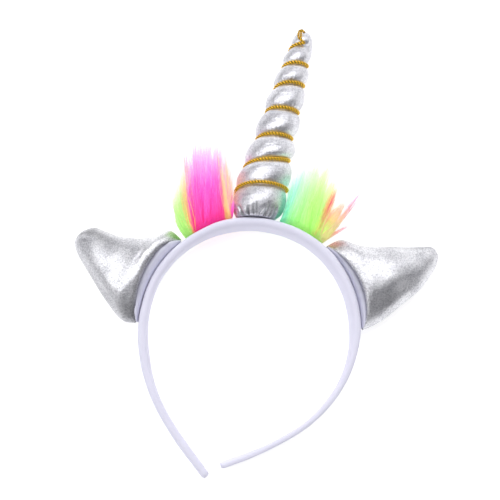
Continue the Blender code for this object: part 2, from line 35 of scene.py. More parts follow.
# How the headband lies, and where the band's plane is in the row's frame
PLANE_RISE = 4.85
ROW_SHIFT = (-4.859, -53.143, 11.926)
PRESSED_HEIGHT = 0.3
SEAM_GAP = 0.3
STITCH_GAP = SEAM_GAP + 0.15

# Floor, in metres: half its side, and how far it is kept under the part
FLOOR_HALF = 2.5
FLOOR_DROP = 0.0002

# Camera, as the photograph was taken: from almost straight above
CAMERA_TARGET = (-3.86, -4.14, 12.4)
CAMERA_DISTANCE = 800.0
CAMERA_TILT = 14.0
CAMERA_LENS = 94.4
CAMERA_SENSOR = 36.0

# Band: its middle line round the head, from the right end over the crown to the left end
BAND_COLUMNS = ("angle", "radius", "thickness", "width", "roll")
BAND_ROWS = (
    (-101.5, 82.6, 3.6, 8.6, 12.0),
    (-95.0, 77.9, 3.7, 9.0, 12.0),
    (-83.0, 72.1, 3.6, 9.4, 5.0),
    (-71.0, 68.5, 3.5, 9.8, 2.0),
    (-59.0, 66.6, 3.6, 10.4, 2.0),
    (-47.0, 65.3, 3.9, 11.0, 3.0),
    (-35.0, 64.7, 4.0, 11.8, 3.0),
    (-24.0, 64.4, 4.3, 12.6, 4.0),
    (-12.0, 64.2, 5.0, 13.6, 6.0),
    (0.0, 64.2, 5.8, 15.0, 8.0),
    (15.0, 64.3, 6.1, 16.0, 8.0),
    (30.0, 64.5, 6.2, 16.5, 8.0),
    (45.0, 64.7, 6.2, 17.0, 7.0),
    (60.0, 64.6, 6.1, 17.5, 6.0),
    (80.0, 64.2, 6.0, 18.0, 6.0),
    (100.0, 64.2, 6.0, 18.0, 6.0),
    (118.0, 63.8, 5.6, 17.0, 3.0),
    (135.0, 63.7, 5.4, 15.8, 1.0),
    (150.0, 63.6, 5.4, 15.0, 0.0),
    (165.0, 63.2, 5.5, 14.4, 0.0),
    (180.0, 63.4, 5.7, 13.8, 1.0),
    (192.0, 64.1, 5.8, 13.0, 2.0),
    (204.0, 66.0, 5.5, 12.0, 2.0),
    (216.0, 68.8, 5.2, 11.0, 0.0),
    (228.0, 72.7, 5.0, 10.2, 0.0),
    (240.0, 78.6, 5.2, 9.6, 0.0),
    (248.0, 84.4, 5.1, 9.0, 0.0),
    (254.3, 90.7, 4.7, 8.4, 0.0),
)
BAND_READINGS = 1425
BAND_STATIONS = 440
BAND_END_ROUNDING = 2.4
BAND_END_STATIONS = 9
BAND_PULL = 0.012

# The band's section, inner face first, as shares of its thickness (out) and its width (up)
SECTION_ROWS = (
    (-0.49, -0.26),
    (-0.50, 0.00),
    (-0.49, 0.26),
    (-0.38, 0.41),
    (-0.14, 0.49),
    (0.16, 0.49),
    (0.40, 0.38),
    (0.50, 0.00),
    (0.40, -0.38),
    (0.16, -0.49),
    (-0.14, -0.49),
    (-0.38, -0.41),
)
SECTION_STEPS = 4

# Horn: the point where its axis meets the band, and how the axis leans
HORN_FOOT = (4.4, 67.4, 1.1)
HORN_YAW = 14.2
HORN_DROOP = 9.8
HORN_COLUMNS = ("along", "radius", "aside")
HORN_ROWS = (
    (0.0, 14.6, 0.0),
    (5.0, 15.8, 0.0),
    (10.0, 16.2, -0.6),
    (23.5, 16.3, -1.0),
    (39.0, 15.2, -0.9),
    (57.5, 13.2, -1.2),
    (75.5, 12.0, -0.7),
    (92.5, 10.5, -0.4),
    (108.5, 8.9, -0.2),
    (120.5, 7.4, 0.0),
    (126.5, 5.9, 0.0),
    (130.0, 3.6, 0.0),
    (131.6, 0.0, 0.0),
)
HORN_LENGTH = 131.6
HORN_LINES_ROUND = 184
HORN_RINGS = 500
FOOT_RINGS = 62
FOOT_HEIGHT = 11.0
FOOT_JOIN = 3.0
FOOT_PASSES = 6
RINGS_TO_SEAM = 1.3
RINGS_TO_TIP = 1.06
TIP_GAP = 0.02

# The gathered foot: by height over the band, its radius and the depth of its gathers
FOOT_COLUMNS = ("lift", "radius", "gather")
FOOT_ROWS = (
    (0.0, 5.5, 0.0),
    (0.25, 10.6, 2.0),
    (2.4, 13.1, 3.0),
    (5.2, 15.3, 2.6),
    (8.0, 17.8, 1.7),
    (11.0, 21.0, 0.0),
)

# Each gather's width and slant in turns, its shift as a share of their spacing, length and depth
GATHERS = 32
GATHER_WIDTH = 0.0080
GATHER_SHIFT = 0.35
GATHER_SLANT = 0.0095
GATHER_LENGTHS = (3.8, 10.0)
GATHER_DEPTHS = (0.30, 1.0)
GATHER_FADE = 0.6

# Painted shade in the horn's gathered foot: how much colour it takes away deep in the folds, how far up from
# the seam it grows, its least share at the seam, and the greys at the middles of the foot's and the tip's
# ends, the first a painted shade
PAINTED_FOLD_SHADE = 0.72
FOLD_RISE = 0.8
FOLD_LEAST = 0.7
END_PAINTED_SHADES = (0.5, 1.0)

# The rope's spiral: turns from the front of the horn, and where it is along the horn
SPIRAL_COLUMNS = ("turn", "along")
SPIRAL_ROWS = (
    (-0.50, 9.6),
    (-0.25, 14.0),
    (0.25, 22.8),
    (0.75, 30.4),
    (1.00, 35.4),
    (1.25, 42.2),
    (1.75, 50.2),
    (2.25, 57.0),
    (2.75, 70.4),
    (3.00, 72.2),
    (3.25, 75.2),
    (3.75, 87.1),
    (4.25, 94.2),
    (4.75, 102.8),
    (5.25, 108.4),
    (5.75, 116.4),
    (6.00, 120.0),
    (6.20, 121.6),
)
SPIRAL_READINGS = 1301
ROPE_END = 5.96
GROOVE_END = 6.12
GROOVE_FLOOR = 0.85
GROOVE_FADE = 0.2
GROOVE_START = 0.25
GROOVE_COLUMNS = ("along", "depth")
GROOVE_ROWS = (
    (0.0, 2.2),
    (23.0, 2.4),
    (38.0, 4.5),
    (56.0, 4.3),
    (80.0, 3.7),
    (110.0, 3.1),
    (125.0, 2.6),
    (131.6, 2.0),
)

# The horn's skin: puckers beside the rope, soft creases, and how full it swells between seams
PUCKER_DEPTH = 0.40
PUCKER_REACH = 2.0
PUCKER_START = 0.5
PUCKER_SHARPNESS = 1.6
PUCKER_SLANT = 0.12
CREASE_DEPTH = 0.12
CREASE_STRETCH = 1.4
CREASE_START = 2.0
FULL_RELIEF_RADIUS = 10.0
LEAST_RELIEF = 0.35
HORN_PILLOW = (2.1, 0.60)
FOOT_PILLOW = (2.4, 0.62)
TIP_SWELL = 0.8
FOOT_SWELL_REACH = 9.0
FOOT_BLEND = 1.1
TIP_TAPER = 8.0

# Rope: two twisted strands
ROPE_RADIUS = 1.10
ROPE_STRANDS = 2
ROPE_PITCH = 3.7
ROPE_STEPS_PER_TURN = 400
STRAND_RADIUS = 0.57
STRAND_SIDES = 10
LOOP_ROWS = (
    (120.6, 1.3, 6.2),
    (120.9, 0.1, 7.8),
    (121.6, -1.8, 8.6),
    (123.0, -2.9, 8.4),
    (125.2, -3.3, 7.9),
    (127.3, -3.2, 7.6),
    (128.3, -2.1, 7.5),
    (128.0, -0.7, 7.4),
    (127.0, 0.1, 7.3),
)
LOOP_STEPS = 14
LOOP_ROPE_SHARE = 0.72
LOOP_NARROWING = 2.5
SECOND_STRAND_ROWS = (
    (120.9, -0.9, 8.0),
    (121.7, -1.0, 8.4),
    (123.2, -1.3, 8.3),
    (125.2, -1.7, 7.8),
    (127.2, -2.0, 7.4),
    (128.0, -2.3, 6.9),
)
# The cord's gold, then painted shade where the strands turn in to each other and on their ends: its colour,
# the cosine round a strand under which it is full, and how far it fades
STRAND_BRIGHT = (255, 206, 66)
STRAND_PAINTED_SHADE = (52, 18, 0)
STRAND_PAINTED_SHADE_BELOW = 0.55
STRAND_PAINTED_SHADE_FADE = 0.38

# Lining strips between each ear and the band: depth out from the band, and reach down and up
STRIP_COLUMNS = ("angle", "depth", "low", "high")
STRIP_LEFT_ROWS = (
    (127.5, 0.9, -4.0, 4.0),
    (132.0, 4.2, -6.0, 5.0),
    (139.0, 6.2, -7.0, 5.5),
    (147.0, 6.2, -7.0, 5.5),
    (155.0, 5.6, -7.0, 5.2),
    (163.0, 4.6, -6.5, 5.0),
    (170.0, 3.2, -6.0, 4.6),
    (176.0, 1.2, -4.0, 4.0),
)
STRIP_RIGHT_ROWS = (
    (46.0, 0.9, -4.0, 4.0),
    (41.0, 2.2, -6.0, 5.0),
    (33.0, 3.6, -7.0, 5.5),
    (25.0, 4.4, -7.0, 5.5),
    (17.0, 4.6, -7.0, 5.2),
    (9.0, 3.8, -6.5, 5.0),
    (3.5, 2.4, -6.0, 4.6),
    (0.5, 1.1, -4.0, 4.0),
)
STRIP_STATIONS = 90
STRIP_SECTION_STEPS = 5
STRIP_RIPPLE = 0.18
STRIP_SPACING = 1.13

# The strips' section, as shares of its depth (out) and its height (up)
STRIP_SECTION_ROWS = (
    (0.0, 0.12),
    (0.0, 0.75),
    (0.35, 0.95),
    (0.75, 1.0),
    (1.0, 0.88),
    (1.0, 0.20),
    (0.75, 0.02),
    (0.35, 0.0),
)

# Ears, a section a row: reach, upper edge's x and y, lower edge's x and y, half thickness, middle
# height and outward bow
EAR_LEFT_ROWS = (
    (0.12, -47.6, 60.4, -73.6, 4.4, 12.4, -1.0, 7.0),
    (0.25, -55.4, 57.0, -78.8, 8.0, 13.0, -1.4, 4.6),
    (0.40, -66.0, 55.8, -84.0, 14.4, 12.4, -2.2, 2.6),
    (0.55, -77.0, 56.9, -89.6, 22.4, 11.0, -3.2, 1.4),
    (0.70, -87.0, 60.4, -95.6, 32.0, 9.0, -4.6, 0.8),
    (0.82, -94.8, 63.2, -100.6, 40.0, 7.0, -6.0, 0.4),
    (0.92, -100.6, 61.8, -104.3, 46.4, 5.0, -7.2, 0.3),
    (0.98, -104.6, 58.8, -106.1, 50.6, 3.2, -8.0, 0.2),
    (1.00, -106.0, 56.6, -106.6, 53.0, 1.6, -8.2, 0.1),
)
EAR_RIGHT_ROWS = (
    (0.12, 56.2, 54.8, 74.0, 1.6, 11.8, -1.0, 6.4),
    (0.25, 64.6, 52.2, 80.0, 4.9, 12.6, -1.4, 4.2),
    (0.40, 75.4, 50.4, 87.6, 10.6, 12.2, -2.2, 2.4),
    (0.55, 86.0, 51.0, 95.6, 17.2, 10.8, -3.2, 1.3),
    (0.70, 96.8, 50.8, 103.0, 23.2, 8.8, -4.6, 0.7),
    (0.82, 105.2, 51.2, 108.2, 29.4, 6.8, -6.0, 0.4),
    (0.92, 111.4, 51.4, 112.4, 35.4, 5.0, -7.2, 0.3),
    (0.98, 114.7, 49.6, 114.9, 39.4, 3.2, -8.0, 0.2),
    (1.00, 116.1, 47.0, 116.3, 43.4, 1.6, -8.2, 0.1),
)
EAR_SEAT = 2 * SEAM_GAP + 0.35
EAR_PILLOW = (2.3, 0.62)
EAR_BASE_HALF = 11.0
EAR_SEAM_HALF = 7.4
EAR_LIP = 2.0
EAR_LIP_REACH = 0.035
EAR_BASE_MIDDLE = -0.6
EAR_BASE_MARGIN = 0.8
EAR_STEPS_ACROSS = 97
EAR_STEPS_ALONG = 128
EAR_STEPS_TO_TIP = 1.25
EAR_LENGTH = 62.0
EAR_PUCKER = 0.24
EAR_PUCKER_REACH = 3.2
EAR_PUCKER_SHARPNESS = 1.5
EAR_PUCKER_FADE = 0.3
EAR_FAR_EDGE = 400.0
EAR_CALM_BASE = 0.06
EAR_CALM_TIP = 0.05
DARKEST_PAINTED_SHADE = 0.15
EAR_CREASE = 0.12

# Dents pressed into the front of each padded ear: where, how wide and how deep
DENT_LEFT_ROWS = (
    (0.00, 0.50, 0.055, 0.90, 3.4),
    (0.00, 0.88, 0.13, 0.20, 1.8),
    (0.36, 0.42, 0.30, 0.28, 2.2),
    (0.72, 0.20, 0.26, 0.16, 1.2),
    (0.12, 0.92, 0.14, 0.16, 1.0),
)
DENT_RIGHT_ROWS = (
    (0.00, 0.50, 0.055, 0.90, 2.6),
    (0.30, 0.55, 0.10, 0.30, 1.0),
    (0.34, 0.80, 0.30, 0.12, 1.6),
)

# Painted shade and painted dark reflections on the front of each ear, in the same columns, with the share of
# colour they take away
PAINTED_SHADE_LEFT_ROWS = (
    (0.025, 0.50, 0.040, 0.90, 0.62),
    (0.78, 0.14, 0.24, 0.13, 0.38),
    (0.50, 0.95, 0.50, 0.08, 0.22),
    (0.10, 0.90, 0.10, 0.10, 0.25),
)
PAINTED_SHADE_RIGHT_ROWS = (
    (0.015, 0.50, 0.025, 0.90, 0.40),
    (0.34, 0.80, 0.26, 0.10, 0.18),
    (0.80, 0.06, 0.26, 0.06, 0.25),
)

# Fur: length, lean to the right, sideways bow and droop of the strands along each tuft's seat
FUR_COLUMNS = ("angle", "length", "lean", "bow", "droop")
FUR_LEFT_ROWS = (
    (124.2, 31.0, -14.0, -2.5, 4.0),
    (122.2, 37.0, -11.0, -2.5, 5.0),
    (120.2, 45.0, -7.5, -1.8, 6.0),
    (118.0, 58.0, -4.5, -0.8, 6.0),
    (112.0, 57.0, -3.5, -0.6, 6.0),
    (106.0, 53.0, -4.0, -0.6, 5.0),
    (101.6, 46.0, -5.0, -0.3, 4.0),
    (99.5, 34.0, -3.0, 0.0, 3.0),
    (98.4, 26.0, -1.0, 0.0, 3.0),
)
FUR_RIGHT_ROWS = (
    (73.6, 34.0, 19.0, 1.8, 3.0),
    (70.0, 40.0, 18.5, 1.2, 4.0),
    (65.0, 44.0, 17.0, 0.6, 5.0),
    (60.0, 46.0, 16.0, 0.0, 5.0),
    (56.5, 45.0, 17.0, 0.0, 5.0),
    (55.0, 38.0, 19.0, -0.2, 5.0),
    (53.5, 31.0, 23.0, -0.4, 4.0),
    (51.5, 22.0, 32.0, -0.6, 4.0),
    (49.4, 14.0, 40.0, -0.6, 3.0),
)

# Single locks on the front of the tufts: angle, strands, width in degrees, how far up the seat they
# start, length, lean and bow
LOCK_LEFT_ROWS = (
    (98.3, 60, 0.5, 5.6, 13.0, 4.0, 0.0),
)
LOCK_RIGHT_ROWS = (
    (54.8, 300, 3.4, 5.6, 34.0, 25.0, 0.5),
    (54.6, 50, 1.0, 6.6, 32.0, 26.0, 0.5),
    (51.6, 420, 4.4, 5.0, 30.0, 34.0, 0.3),
    (50.0, 90, 2.2, 5.8, 41.0, 38.5, 0.8),
    (49.4, 30, 1.0, 5.4, 21.0, 58.0, -0.8),
)
LOCK_DYE_START = 0.30
LOCK_LEFT_DYES = (
    ((255, 90, 190), (255, 120, 210), (255, 190, 230)),
)
LOCK_RIGHT_DYES = (
    ((196, 234, 120), (252, 178, 118), (255, 198, 172)),
    ((210, 226, 120), (240, 110, 126), (240, 130, 160)),
    ((204, 232, 128), (252, 200, 160), (255, 222, 212)),
    ((222, 220, 144), (250, 190, 190), (242, 160, 216)),
    ((226, 214, 144), (250, 172, 176), (238, 130, 180)),
)
FUR_SPREAD = 0.35
FUR_SEAT_HALF = 6.4
FUR_SEAT_RADIUS = 67.0
FUR_ROOT_HEIGHT = 0.6
FUR_LOWEST = 0.25
FUR_STRANDS = 6700
SHORTEST = 0.42
MORE_LENGTH = 0.62
LENGTHS_LOW = 1.6
FUR_CURVE = 1.5
LOCK_CURVE = 1.1
LOOSE_SHARE = 0.15
LOOSE_STRETCHES = (0.95, 1.28)
LOOSE_GATHER = 0.10
LOCK_STRETCHES = (0.80, 1.03)
LOCK_LEAN = 2.4
LOCK_BOW = 0.9
LOCK_GATHERS = (0.10, 0.52)
FUR_RADII = (0.17, 0.17, 0.14, 0.085, 0.012)
FUR_LOCK_WIDTH = 2.4
FUR_LOCKS_UP = 5

# Fur colours along each seat, as red, green and blue from 0 to 255 at root, middle and tip
DYE_COLUMNS = (
    "angle", "root_r", "root_g", "root_b", "middle_r", "middle_g", "middle_b", "tip_r", "tip_g", "tip_b",
)
DYE_LEFT_ROWS = (
    (124.6, 182, 240, 138, 206, 242, 168, 244, 252, 230),
    (122.4, 180, 236, 126, 206, 238, 158, 244, 250, 226),
    (120.6, 192, 232, 126, 214, 230, 152, 246, 246, 218),
    (119.8, 240, 204, 124, 250, 206, 146, 253, 232, 204),
    (119.1, 255, 150, 118, 255, 186, 170, 254, 224, 216),
    (118.4, 255, 66, 150, 255, 116, 216, 252, 226, 250),
    (110.0, 255, 60, 165, 255, 116, 226, 252, 228, 250),
    (103.0, 255, 64, 158, 255, 116, 212, 253, 228, 248),
    (101.8, 255, 104, 140, 255, 150, 196, 254, 228, 242),
    (101.0, 248, 195, 125, 255, 205, 165, 254, 232, 215),
    (99.2, 245, 195, 135, 255, 214, 185, 254, 238, 225),
    (98.0, 255, 110, 190, 255, 160, 215, 255, 215, 235),
)
DYE_RIGHT_ROWS = (
    (74.0, 110, 215, 180, 165, 244, 218, 228, 253, 246),
    (72.0, 140, 236, 184, 186, 250, 222, 238, 255, 248),
    (69.0, 160, 244, 150, 202, 252, 205, 238, 255, 240),
    (64.0, 176, 248, 135, 208, 253, 185, 240, 254, 232),
    (58.0, 182, 248, 125, 206, 251, 155, 240, 253, 218),
    (54.6, 182, 244, 124, 202, 244, 146, 244, 250, 214),
    (53.0, 190, 240, 126, 226, 214, 140, 253, 222, 200),
    (51.6, 194, 238, 134, 250, 192, 152, 255, 214, 200),
    (50.2, 190, 240, 134, 246, 196, 168, 255, 222, 212),
    (49.2, 200, 234, 148, 252, 176, 190, 250, 200, 228),
)
DYE_MIDDLE = 0.50
DYE_TIP_REACH = 0.42

SEED = 11
UPWARD = np.array((0.0, 0.0, 1.0))


def unit(vectors):
    """Vectors brought to a length of one."""
    return vectors / np.maximum(np.linalg.norm(vectors, axis=-1, keepdims=True), 1e-6)


def calm_slopes(values, steps):
    """Slopes at each row of a table, for smooth curves that don't overshoot."""
    slopes = np.diff(values, axis=0) / steps.reshape(-1, *[1] * (values.ndim - 1))
    product = slopes[:-1] * slopes[1:]
    total = slopes[:-1] + slopes[1:]
    safe = np.where(np.abs(total) < 1e-9, 1.0, total)
    inner = np.where(product > 0, 2 * product / safe, 0.0)
    return np.concatenate((slopes[:1], inner, slopes[-1:]))


def smooth_between(share, step, start, end, start_slope, end_slope):
    """A place on the smooth curve between two rows of a table, at a share of the step between them."""
    return (
        (1 + 2 * share) * (1 - share) ** 2 * start
        + share * (1 - share) ** 2 * step * start_slope
        + share ** 2 * (3 - 2 * share) * end
        + share ** 2 * (share - 1) * step * end_slope
    )


class Table:
    """A short table read as smooth curves without overshoot, for whole arrays at once."""

    def __init__(self, columns, rows):
        table = np.array(sorted(rows), dtype=float)
        self.keys = table[:, 0]
        self.steps = np.diff(self.keys)
        self.curves = {
            name: (values, calm_slopes(values, self.steps))
            for name, values in zip(columns[1:], table.T[1:])
        }

    def __call__(self, name, at):
        values, slopes = self.curves[name]
        at = np.clip(np.asarray(at, dtype=float), self.keys[0], self.keys[-1])
        row = np.clip(np.searchsorted(self.keys, at, side="right") - 1, 0, len(self.steps) - 1)
        step = self.steps[row]
        share = (at - self.keys[row]) / step
        return smooth_between(share, step, values[row], values[row + 1], slopes[row], slopes[row + 1])


class Ripple:
    """Seeded noise from about -1 to 1: a sum of waves in random directions."""

    def __init__(self, seed, shortest, longest, waves=14, dimensions=1):
        draw = np.random.default_rng(SEED * 1000 + seed)
        lengths = np.exp(draw.uniform(math.log(shortest), math.log(longest), waves))
        directions = draw.normal(size=(waves, dimensions))
        directions = unit(directions)
        self.pitch = 2 * math.pi * directions / lengths[:, None]
        self.phase = draw.uniform(0, 2 * math.pi, waves)
        self.scale = math.sqrt(2.0 / waves)

    def __call__(self, *places):
        total = 0.0
        for pitch, phase in zip(self.pitch, self.phase):
            turn = phase
            for place, one in zip(places, pitch):
                turn = turn + place * one
            total = total + np.sin(turn)
        return total * self.scale


class BandPath:
    """The band's middle line by length, with the section's frame at each place."""

    def __init__(self):
        self.read = Table(BAND_COLUMNS, BAND_ROWS)
        self.angles = np.linspace(BAND_ROWS[0][0], BAND_ROWS[-1][0], BAND_READINGS)
        radii = self.read("radius", self.angles)
        self.x = radii * np.cos(np.radians(self.angles))
        self.y = radii * np.sin(np.radians(self.angles))
        runs = np.hypot(np.diff(self.x), np.diff(self.y))
        self.arc = np.concatenate(([0.0], np.cumsum(runs)))
        self.length = float(self.arc[-1])

    def point(self, arc, out, up):
        """Points that lie out from the middle line and up the width, in the rolled section."""
        angle = np.interp(arc, self.arc, self.angles)
        behind = np.maximum(arc - 1.0, 0.0)
        ahead = np.minimum(arc + 1.0, self.length)
        run_x = np.interp(ahead, self.arc, self.x) - np.interp(behind, self.arc, self.x)
        run_y = np.interp(ahead, self.arc, self.y) - np.interp(behind, self.arc, self.y)
        size = np.hypot(run_x, run_y)
        roll = np.radians(self.read("roll", angle))
        outward = out * np.cos(roll) + up * np.sin(roll)
        upward = up * np.cos(roll) - out * np.sin(roll)
        x = np.interp(arc, self.arc, self.x) + outward * run_y / size
        y = np.interp(arc, self.arc, self.y) - outward * run_x / size
        return np.stack(np.broadcast_arrays(x, y, upward), axis=-1)

    def over(self, angle, height, up):
        """Points at a height over the band's outer face, at an angle round the head."""
        half = self.read("thickness", angle) / 2
        return self.point(np.interp(angle, self.angles, self.arc), half + height, up)

    def outer_radius(self, angle):
        return self.read("radius", angle) + self.read("thickness", angle) / 2


class HornAxis:
    """The horn's bent axis, with its right and front directions, and the rope's groove."""

    def __init__(self):
        self.read = Table(HORN_COLUMNS, HORN_ROWS)
        self.groove = Table(GROOVE_COLUMNS, GROOVE_ROWS)
        yaw = math.radians(HORN_YAW)
        droop = math.radians(HORN_DROOP)
        level = math.cos(droop)
        self.along = np.array((level * math.sin(yaw), level * math.cos(yaw), -math.sin(droop)))
        self.front = unit(UPWARD + self.along * math.sin(droop))
        self.right = np.cross(self.along, self.front)
        spiral = Table(SPIRAL_COLUMNS, SPIRAL_ROWS)
        self.turns = np.linspace(SPIRAL_ROWS[0][0], SPIRAL_ROWS[-1][0], SPIRAL_READINGS)
        self.spiral = spiral("along", self.turns)
        around = 2 * math.pi * self.read("radius", self.spiral) * np.gradient(self.turns)
        self.wound = np.cumsum(around)

    def place(self, along, right, front):
        along, right, front = np.broadcast_arrays(along, right, front)
        aside = right + self.read("aside", along)
        return (
            np.array(HORN_FOOT)
            + along[..., None] * self.along
            + aside[..., None] * self.right
            + front[..., None] * self.front
        )

    def round(self, along, radius, turn):
        angle = 2 * math.pi * turn
        return self.place(along, radius * np.sin(angle), radius * np.cos(angle))

    def along_at(self, turn):
        return np.interp(turn, self.turns, self.spiral)

    def floor_radius(self, turn):
        """Radius of the groove's floor, which rises to the surface where the rope starts."""
        along = self.along_at(turn)
        sunk = np.minimum((turn - self.turns[0]) / GROOVE_FADE, 1.0)
        share = GROOVE_START + (1 - GROOVE_START) * sunk
        return self.read("radius", along) - self.groove("depth", along) * share


def pillow(share, square, full):
    """How far stuffed cloth swells between two seams, from 0 at each to 1 midway."""
    return np.maximum(1 - np.abs(2 * share - 1) ** square, 0.0) ** full


def lay_down(points):
    """From the band's plane, in millimetres, to the ground that the headband lies on, in metres."""
    rise = math.radians(PLANE_RISE)
    x, y, height = np.asarray(points, dtype=float).reshape(-1, 3).T
    laid = np.stack((
        x,
        y * math.cos(rise) - height * math.sin(rise),
        y * math.sin(rise) + height * math.cos(rise),
    ), axis=1)
    return (laid + np.array(ROW_SHIFT)) * MILLIMETRE


def linear(colour):
    """A colour from 0 to 255 as the light that it reflects."""
    share = np.asarray(colour, dtype=float) / 255
    return np.where(share <= 0.04045, share / 12.92, ((share + 0.055) / 1.055) ** 2.4)


def make_piece(name, points, faces, material, colours=None):
    """A smooth-shaded mesh. faces is a list of arrays, each with one face of so many corners a row."""
    mesh = bpy.data.meshes.new(name)
    places = lay_down(points)
    pressed = PRESSED_HEIGHT * MILLIMETRE
    sunk = np.exp(np.minimum(places[:, 2] / pressed - 1, 0.0))
    places[:, 2] = np.where(places[:, 2] < pressed, pressed * sunk, places[:, 2])
    mesh.vertices.add(len(places))
    mesh.vertices.foreach_set("co", places.astype(np.float32).ravel())
    corners = np.concatenate([np.asarray(part).ravel() for part in faces]).astype(np.int32)
    sizes = np.concatenate([np.full(len(part), np.asarray(part).shape[1]) for part in faces])
    starts = np.concatenate(([0], np.cumsum(sizes)[:-1])).astype(np.int32)
    mesh.loops.add(len(corners))
    mesh.loops.foreach_set("vertex_index", corners)
    mesh.polygons.add(len(sizes))
    mesh.polygons.foreach_set("loop_start", starts)
    if colours is not None:
        # The colour attribute: the fur's dye, the cord's gold with painted shade, and painted shade on the
        # silver pieces
        layer = mesh.color_attributes.new("dye_and_painted_shade", "FLOAT_COLOR", "POINT")
        layer.data.foreach_set("color", np.asarray(colours, dtype=np.float32).ravel())
    mesh.update(calc_edges=True)
    mesh.validate()
    mesh.polygons.foreach_set("use_smooth", np.ones(len(mesh.polygons), dtype=bool))
    mesh.materials.append(material)
    piece = bpy.data.objects.new(name, mesh)
    bpy.context.scene.collection.objects.link(piece)
    return piece


def grid_faces(rows, columns):
    """Faces of a tube of rings: rows of columns points, each ring closed on itself."""
    row, column = np.meshgrid(np.arange(rows - 1), np.arange(columns), indexing="ij")
    following = (column + 1) % columns
    low, high = row * columns, (row + 1) * columns
    quads = np.stack((low + column, low + following, high + following, high + column), axis=-1)
    return quads.reshape(-1, 4)


def fan_faces(ring, middle):
    """Triangles from a middle point to each side of a ring."""
    return np.stack((np.full(len(ring), middle), ring, np.roll(ring, -1)), axis=1)


def closed_tube(rings):
    """Points and faces of a tube through rings (rows, columns, 3), closed with a fan at both ends."""
    rows, columns, _ = rings.shape
    middles = [rings[0].mean(axis=0)], [rings[-1].mean(axis=0)]
    points = np.concatenate((rings.reshape(-1, 3), *middles))
    ring = np.arange(columns)
    last = (rows - 1) * columns
    start = fan_faces(ring, rows * columns)[:, ::-1]
    end = fan_faces(last + ring, rows * columns + 1)
    return points, [grid_faces(rows, columns), np.concatenate((start, end))]


def curve_between(before, start, end, after, share):
    """A place between start and end, on the smooth curve through four corners."""
    return 0.5 * (
        2 * start + share * (end - before)
        + share ** 2 * (2 * before - 5 * start + 4 * end - after)
        + share ** 3 * (3 * start - before - 3 * end + after)
    )


def smooth_loop(corners, steps):
    """A closed smooth curve through corner points, with steps points from each to the next."""
    corners = np.asarray(corners, dtype=float)
    before, after, beyond = (np.roll(corners, shift, 0) for shift in (1, -1, -2))
    shares = np.arange(steps) / steps
    pieces = [curve_between(before, corners, after, beyond, share) for share in shares]
    return np.stack(pieces, axis=1).reshape(-1, corners.shape[1])


def smooth_line(corners, steps):
    """An open smooth curve through corner points, with steps points from each to the next."""
    corners = np.asarray(corners, dtype=float)
    padded = np.concatenate((corners[:1], corners, corners[-1:]))
    points = []
    for number in range(len(corners) - 1):
        points += [curve_between(*padded[number:number + 4], share) for share in np.arange(steps) / steps]
    points.append(corners[-1])
    return np.array(points)


def band_piece(band, material):
    """The padded hoop, a tube of satin with rounded ends and slight pulls in the cloth."""
    rounding = BAND_END_ROUNDING
    ends = rounding * (1 - np.cos(np.linspace(0, math.pi / 2, BAND_END_STATIONS)))[:-1]
    inner = np.linspace(rounding, band.length - rounding, BAND_STATIONS)
    arcs = np.concatenate((ends, inner, band.length - ends[::-1]))
    section = smooth_loop(SECTION_ROWS, SECTION_STEPS)
    angle = np.interp(arcs, band.arc, band.angles)
    nearness = np.minimum(np.minimum(arcs, band.length - arcs), rounding) / rounding
    scale = 0.5 + 0.5 * np.sqrt(np.maximum(1 - (1 - nearness) ** 2, 0))
    out = section[None, :, 0] * (band.read("thickness", angle) * scale)[:, None]
    up = section[None, :, 1] * (band.read("width", angle) * scale)[:, None]
    waves = Ripple(1, shortest=9.0, longest=40.0, dimensions=2)
    pull = 1 + BAND_PULL * waves(arcs[:, None], 30 * section[None, :, 1])
    rings = band.point(arcs[:, None] + 0 * out, out * pull, up * pull)
    points, faces = closed_tube(rings)
    return make_piece("satin_band", points, faces, material)


def horn_radius(horn, along, turn):
    """The horn's skin between the turns of the rope, for arrays (lines, places) of places along it."""
    surface = horn.read("radius", along)
    radius = np.empty_like(along)
    pucker = Ripple(2, shortest=1.7, longest=4.2, waves=18)
    crease = Ripple(3, shortest=11.0, longest=26.0, waves=16, dimensions=2)
    for line in range(along.shape[0]):
        here, skin, start = along[line], surface[line], turn[line, 0]
        grooves = start + np.arange(math.floor(GROOVE_END - start) + 1)
        middles = horn.along_at(grooves)
        floors = horn.floor_radius(grooves)
        number = np.searchsorted(middles, here) - 1
        below = np.clip(number, 0, len(grooves) - 1)
        above = np.clip(number + 1, 0, len(grooves) - 1)
        first = middles[below] + GROOVE_FLOOR
        last = middles[above] - GROOVE_FLOOR
        share = np.clip((here - first) / np.maximum(last - first, 0.1), 0, 1)
        base = floors[below] + share * (floors[above] - floors[below])
        swell = pillow(share, *HORN_PILLOW)
        foot = number < 0
        away = np.clip((middles[0] - GROOVE_FLOOR - here) / FOOT_SWELL_REACH, 0, 1)
        swell = np.where(foot, pillow(away / 2, *FOOT_PILLOW), swell)
        base = np.where(foot, floors[0], base)
        tip = number == len(grooves) - 1
        share = np.clip((here - first) / (HORN_LENGTH - first), 0, 1)
        swell = np.where(tip, pillow(np.minimum(share * TIP_SWELL, 0.5), *HORN_PILLOW), swell)
        base = np.where(tip, np.minimum(floors[-1], skin), base)
        skinned = base + (skin - base) * swell
        nearest = np.abs(here[:, None] - middles[None, :]).argmin(axis=1)
        gap = np.maximum(np.abs(here - middles[nearest]) - GROOVE_FLOOR, 0)
        wound = np.interp(grooves[nearest], horn.turns, horn.wound)
        fold = 0.5 + 0.5 * np.tanh(PUCKER_SHARPNESS * pucker(wound + PUCKER_SLANT * here))
        drawn = PUCKER_DEPTH * fold * np.exp(-gap / PUCKER_REACH) * np.clip(gap / PUCKER_START, 0, 1)
        flat = CREASE_DEPTH * crease(wound, here * CREASE_STRETCH) * np.clip(gap / CREASE_START, 0, 1)
        taper = np.clip((HORN_LENGTH - here) / TIP_TAPER, 0, 1)
        thick = np.clip(skin / FULL_RELIEF_RADIUS, LEAST_RELIEF, 1)
        radius[line] = skinned - (drawn + flat) * taper * thick
    return radius


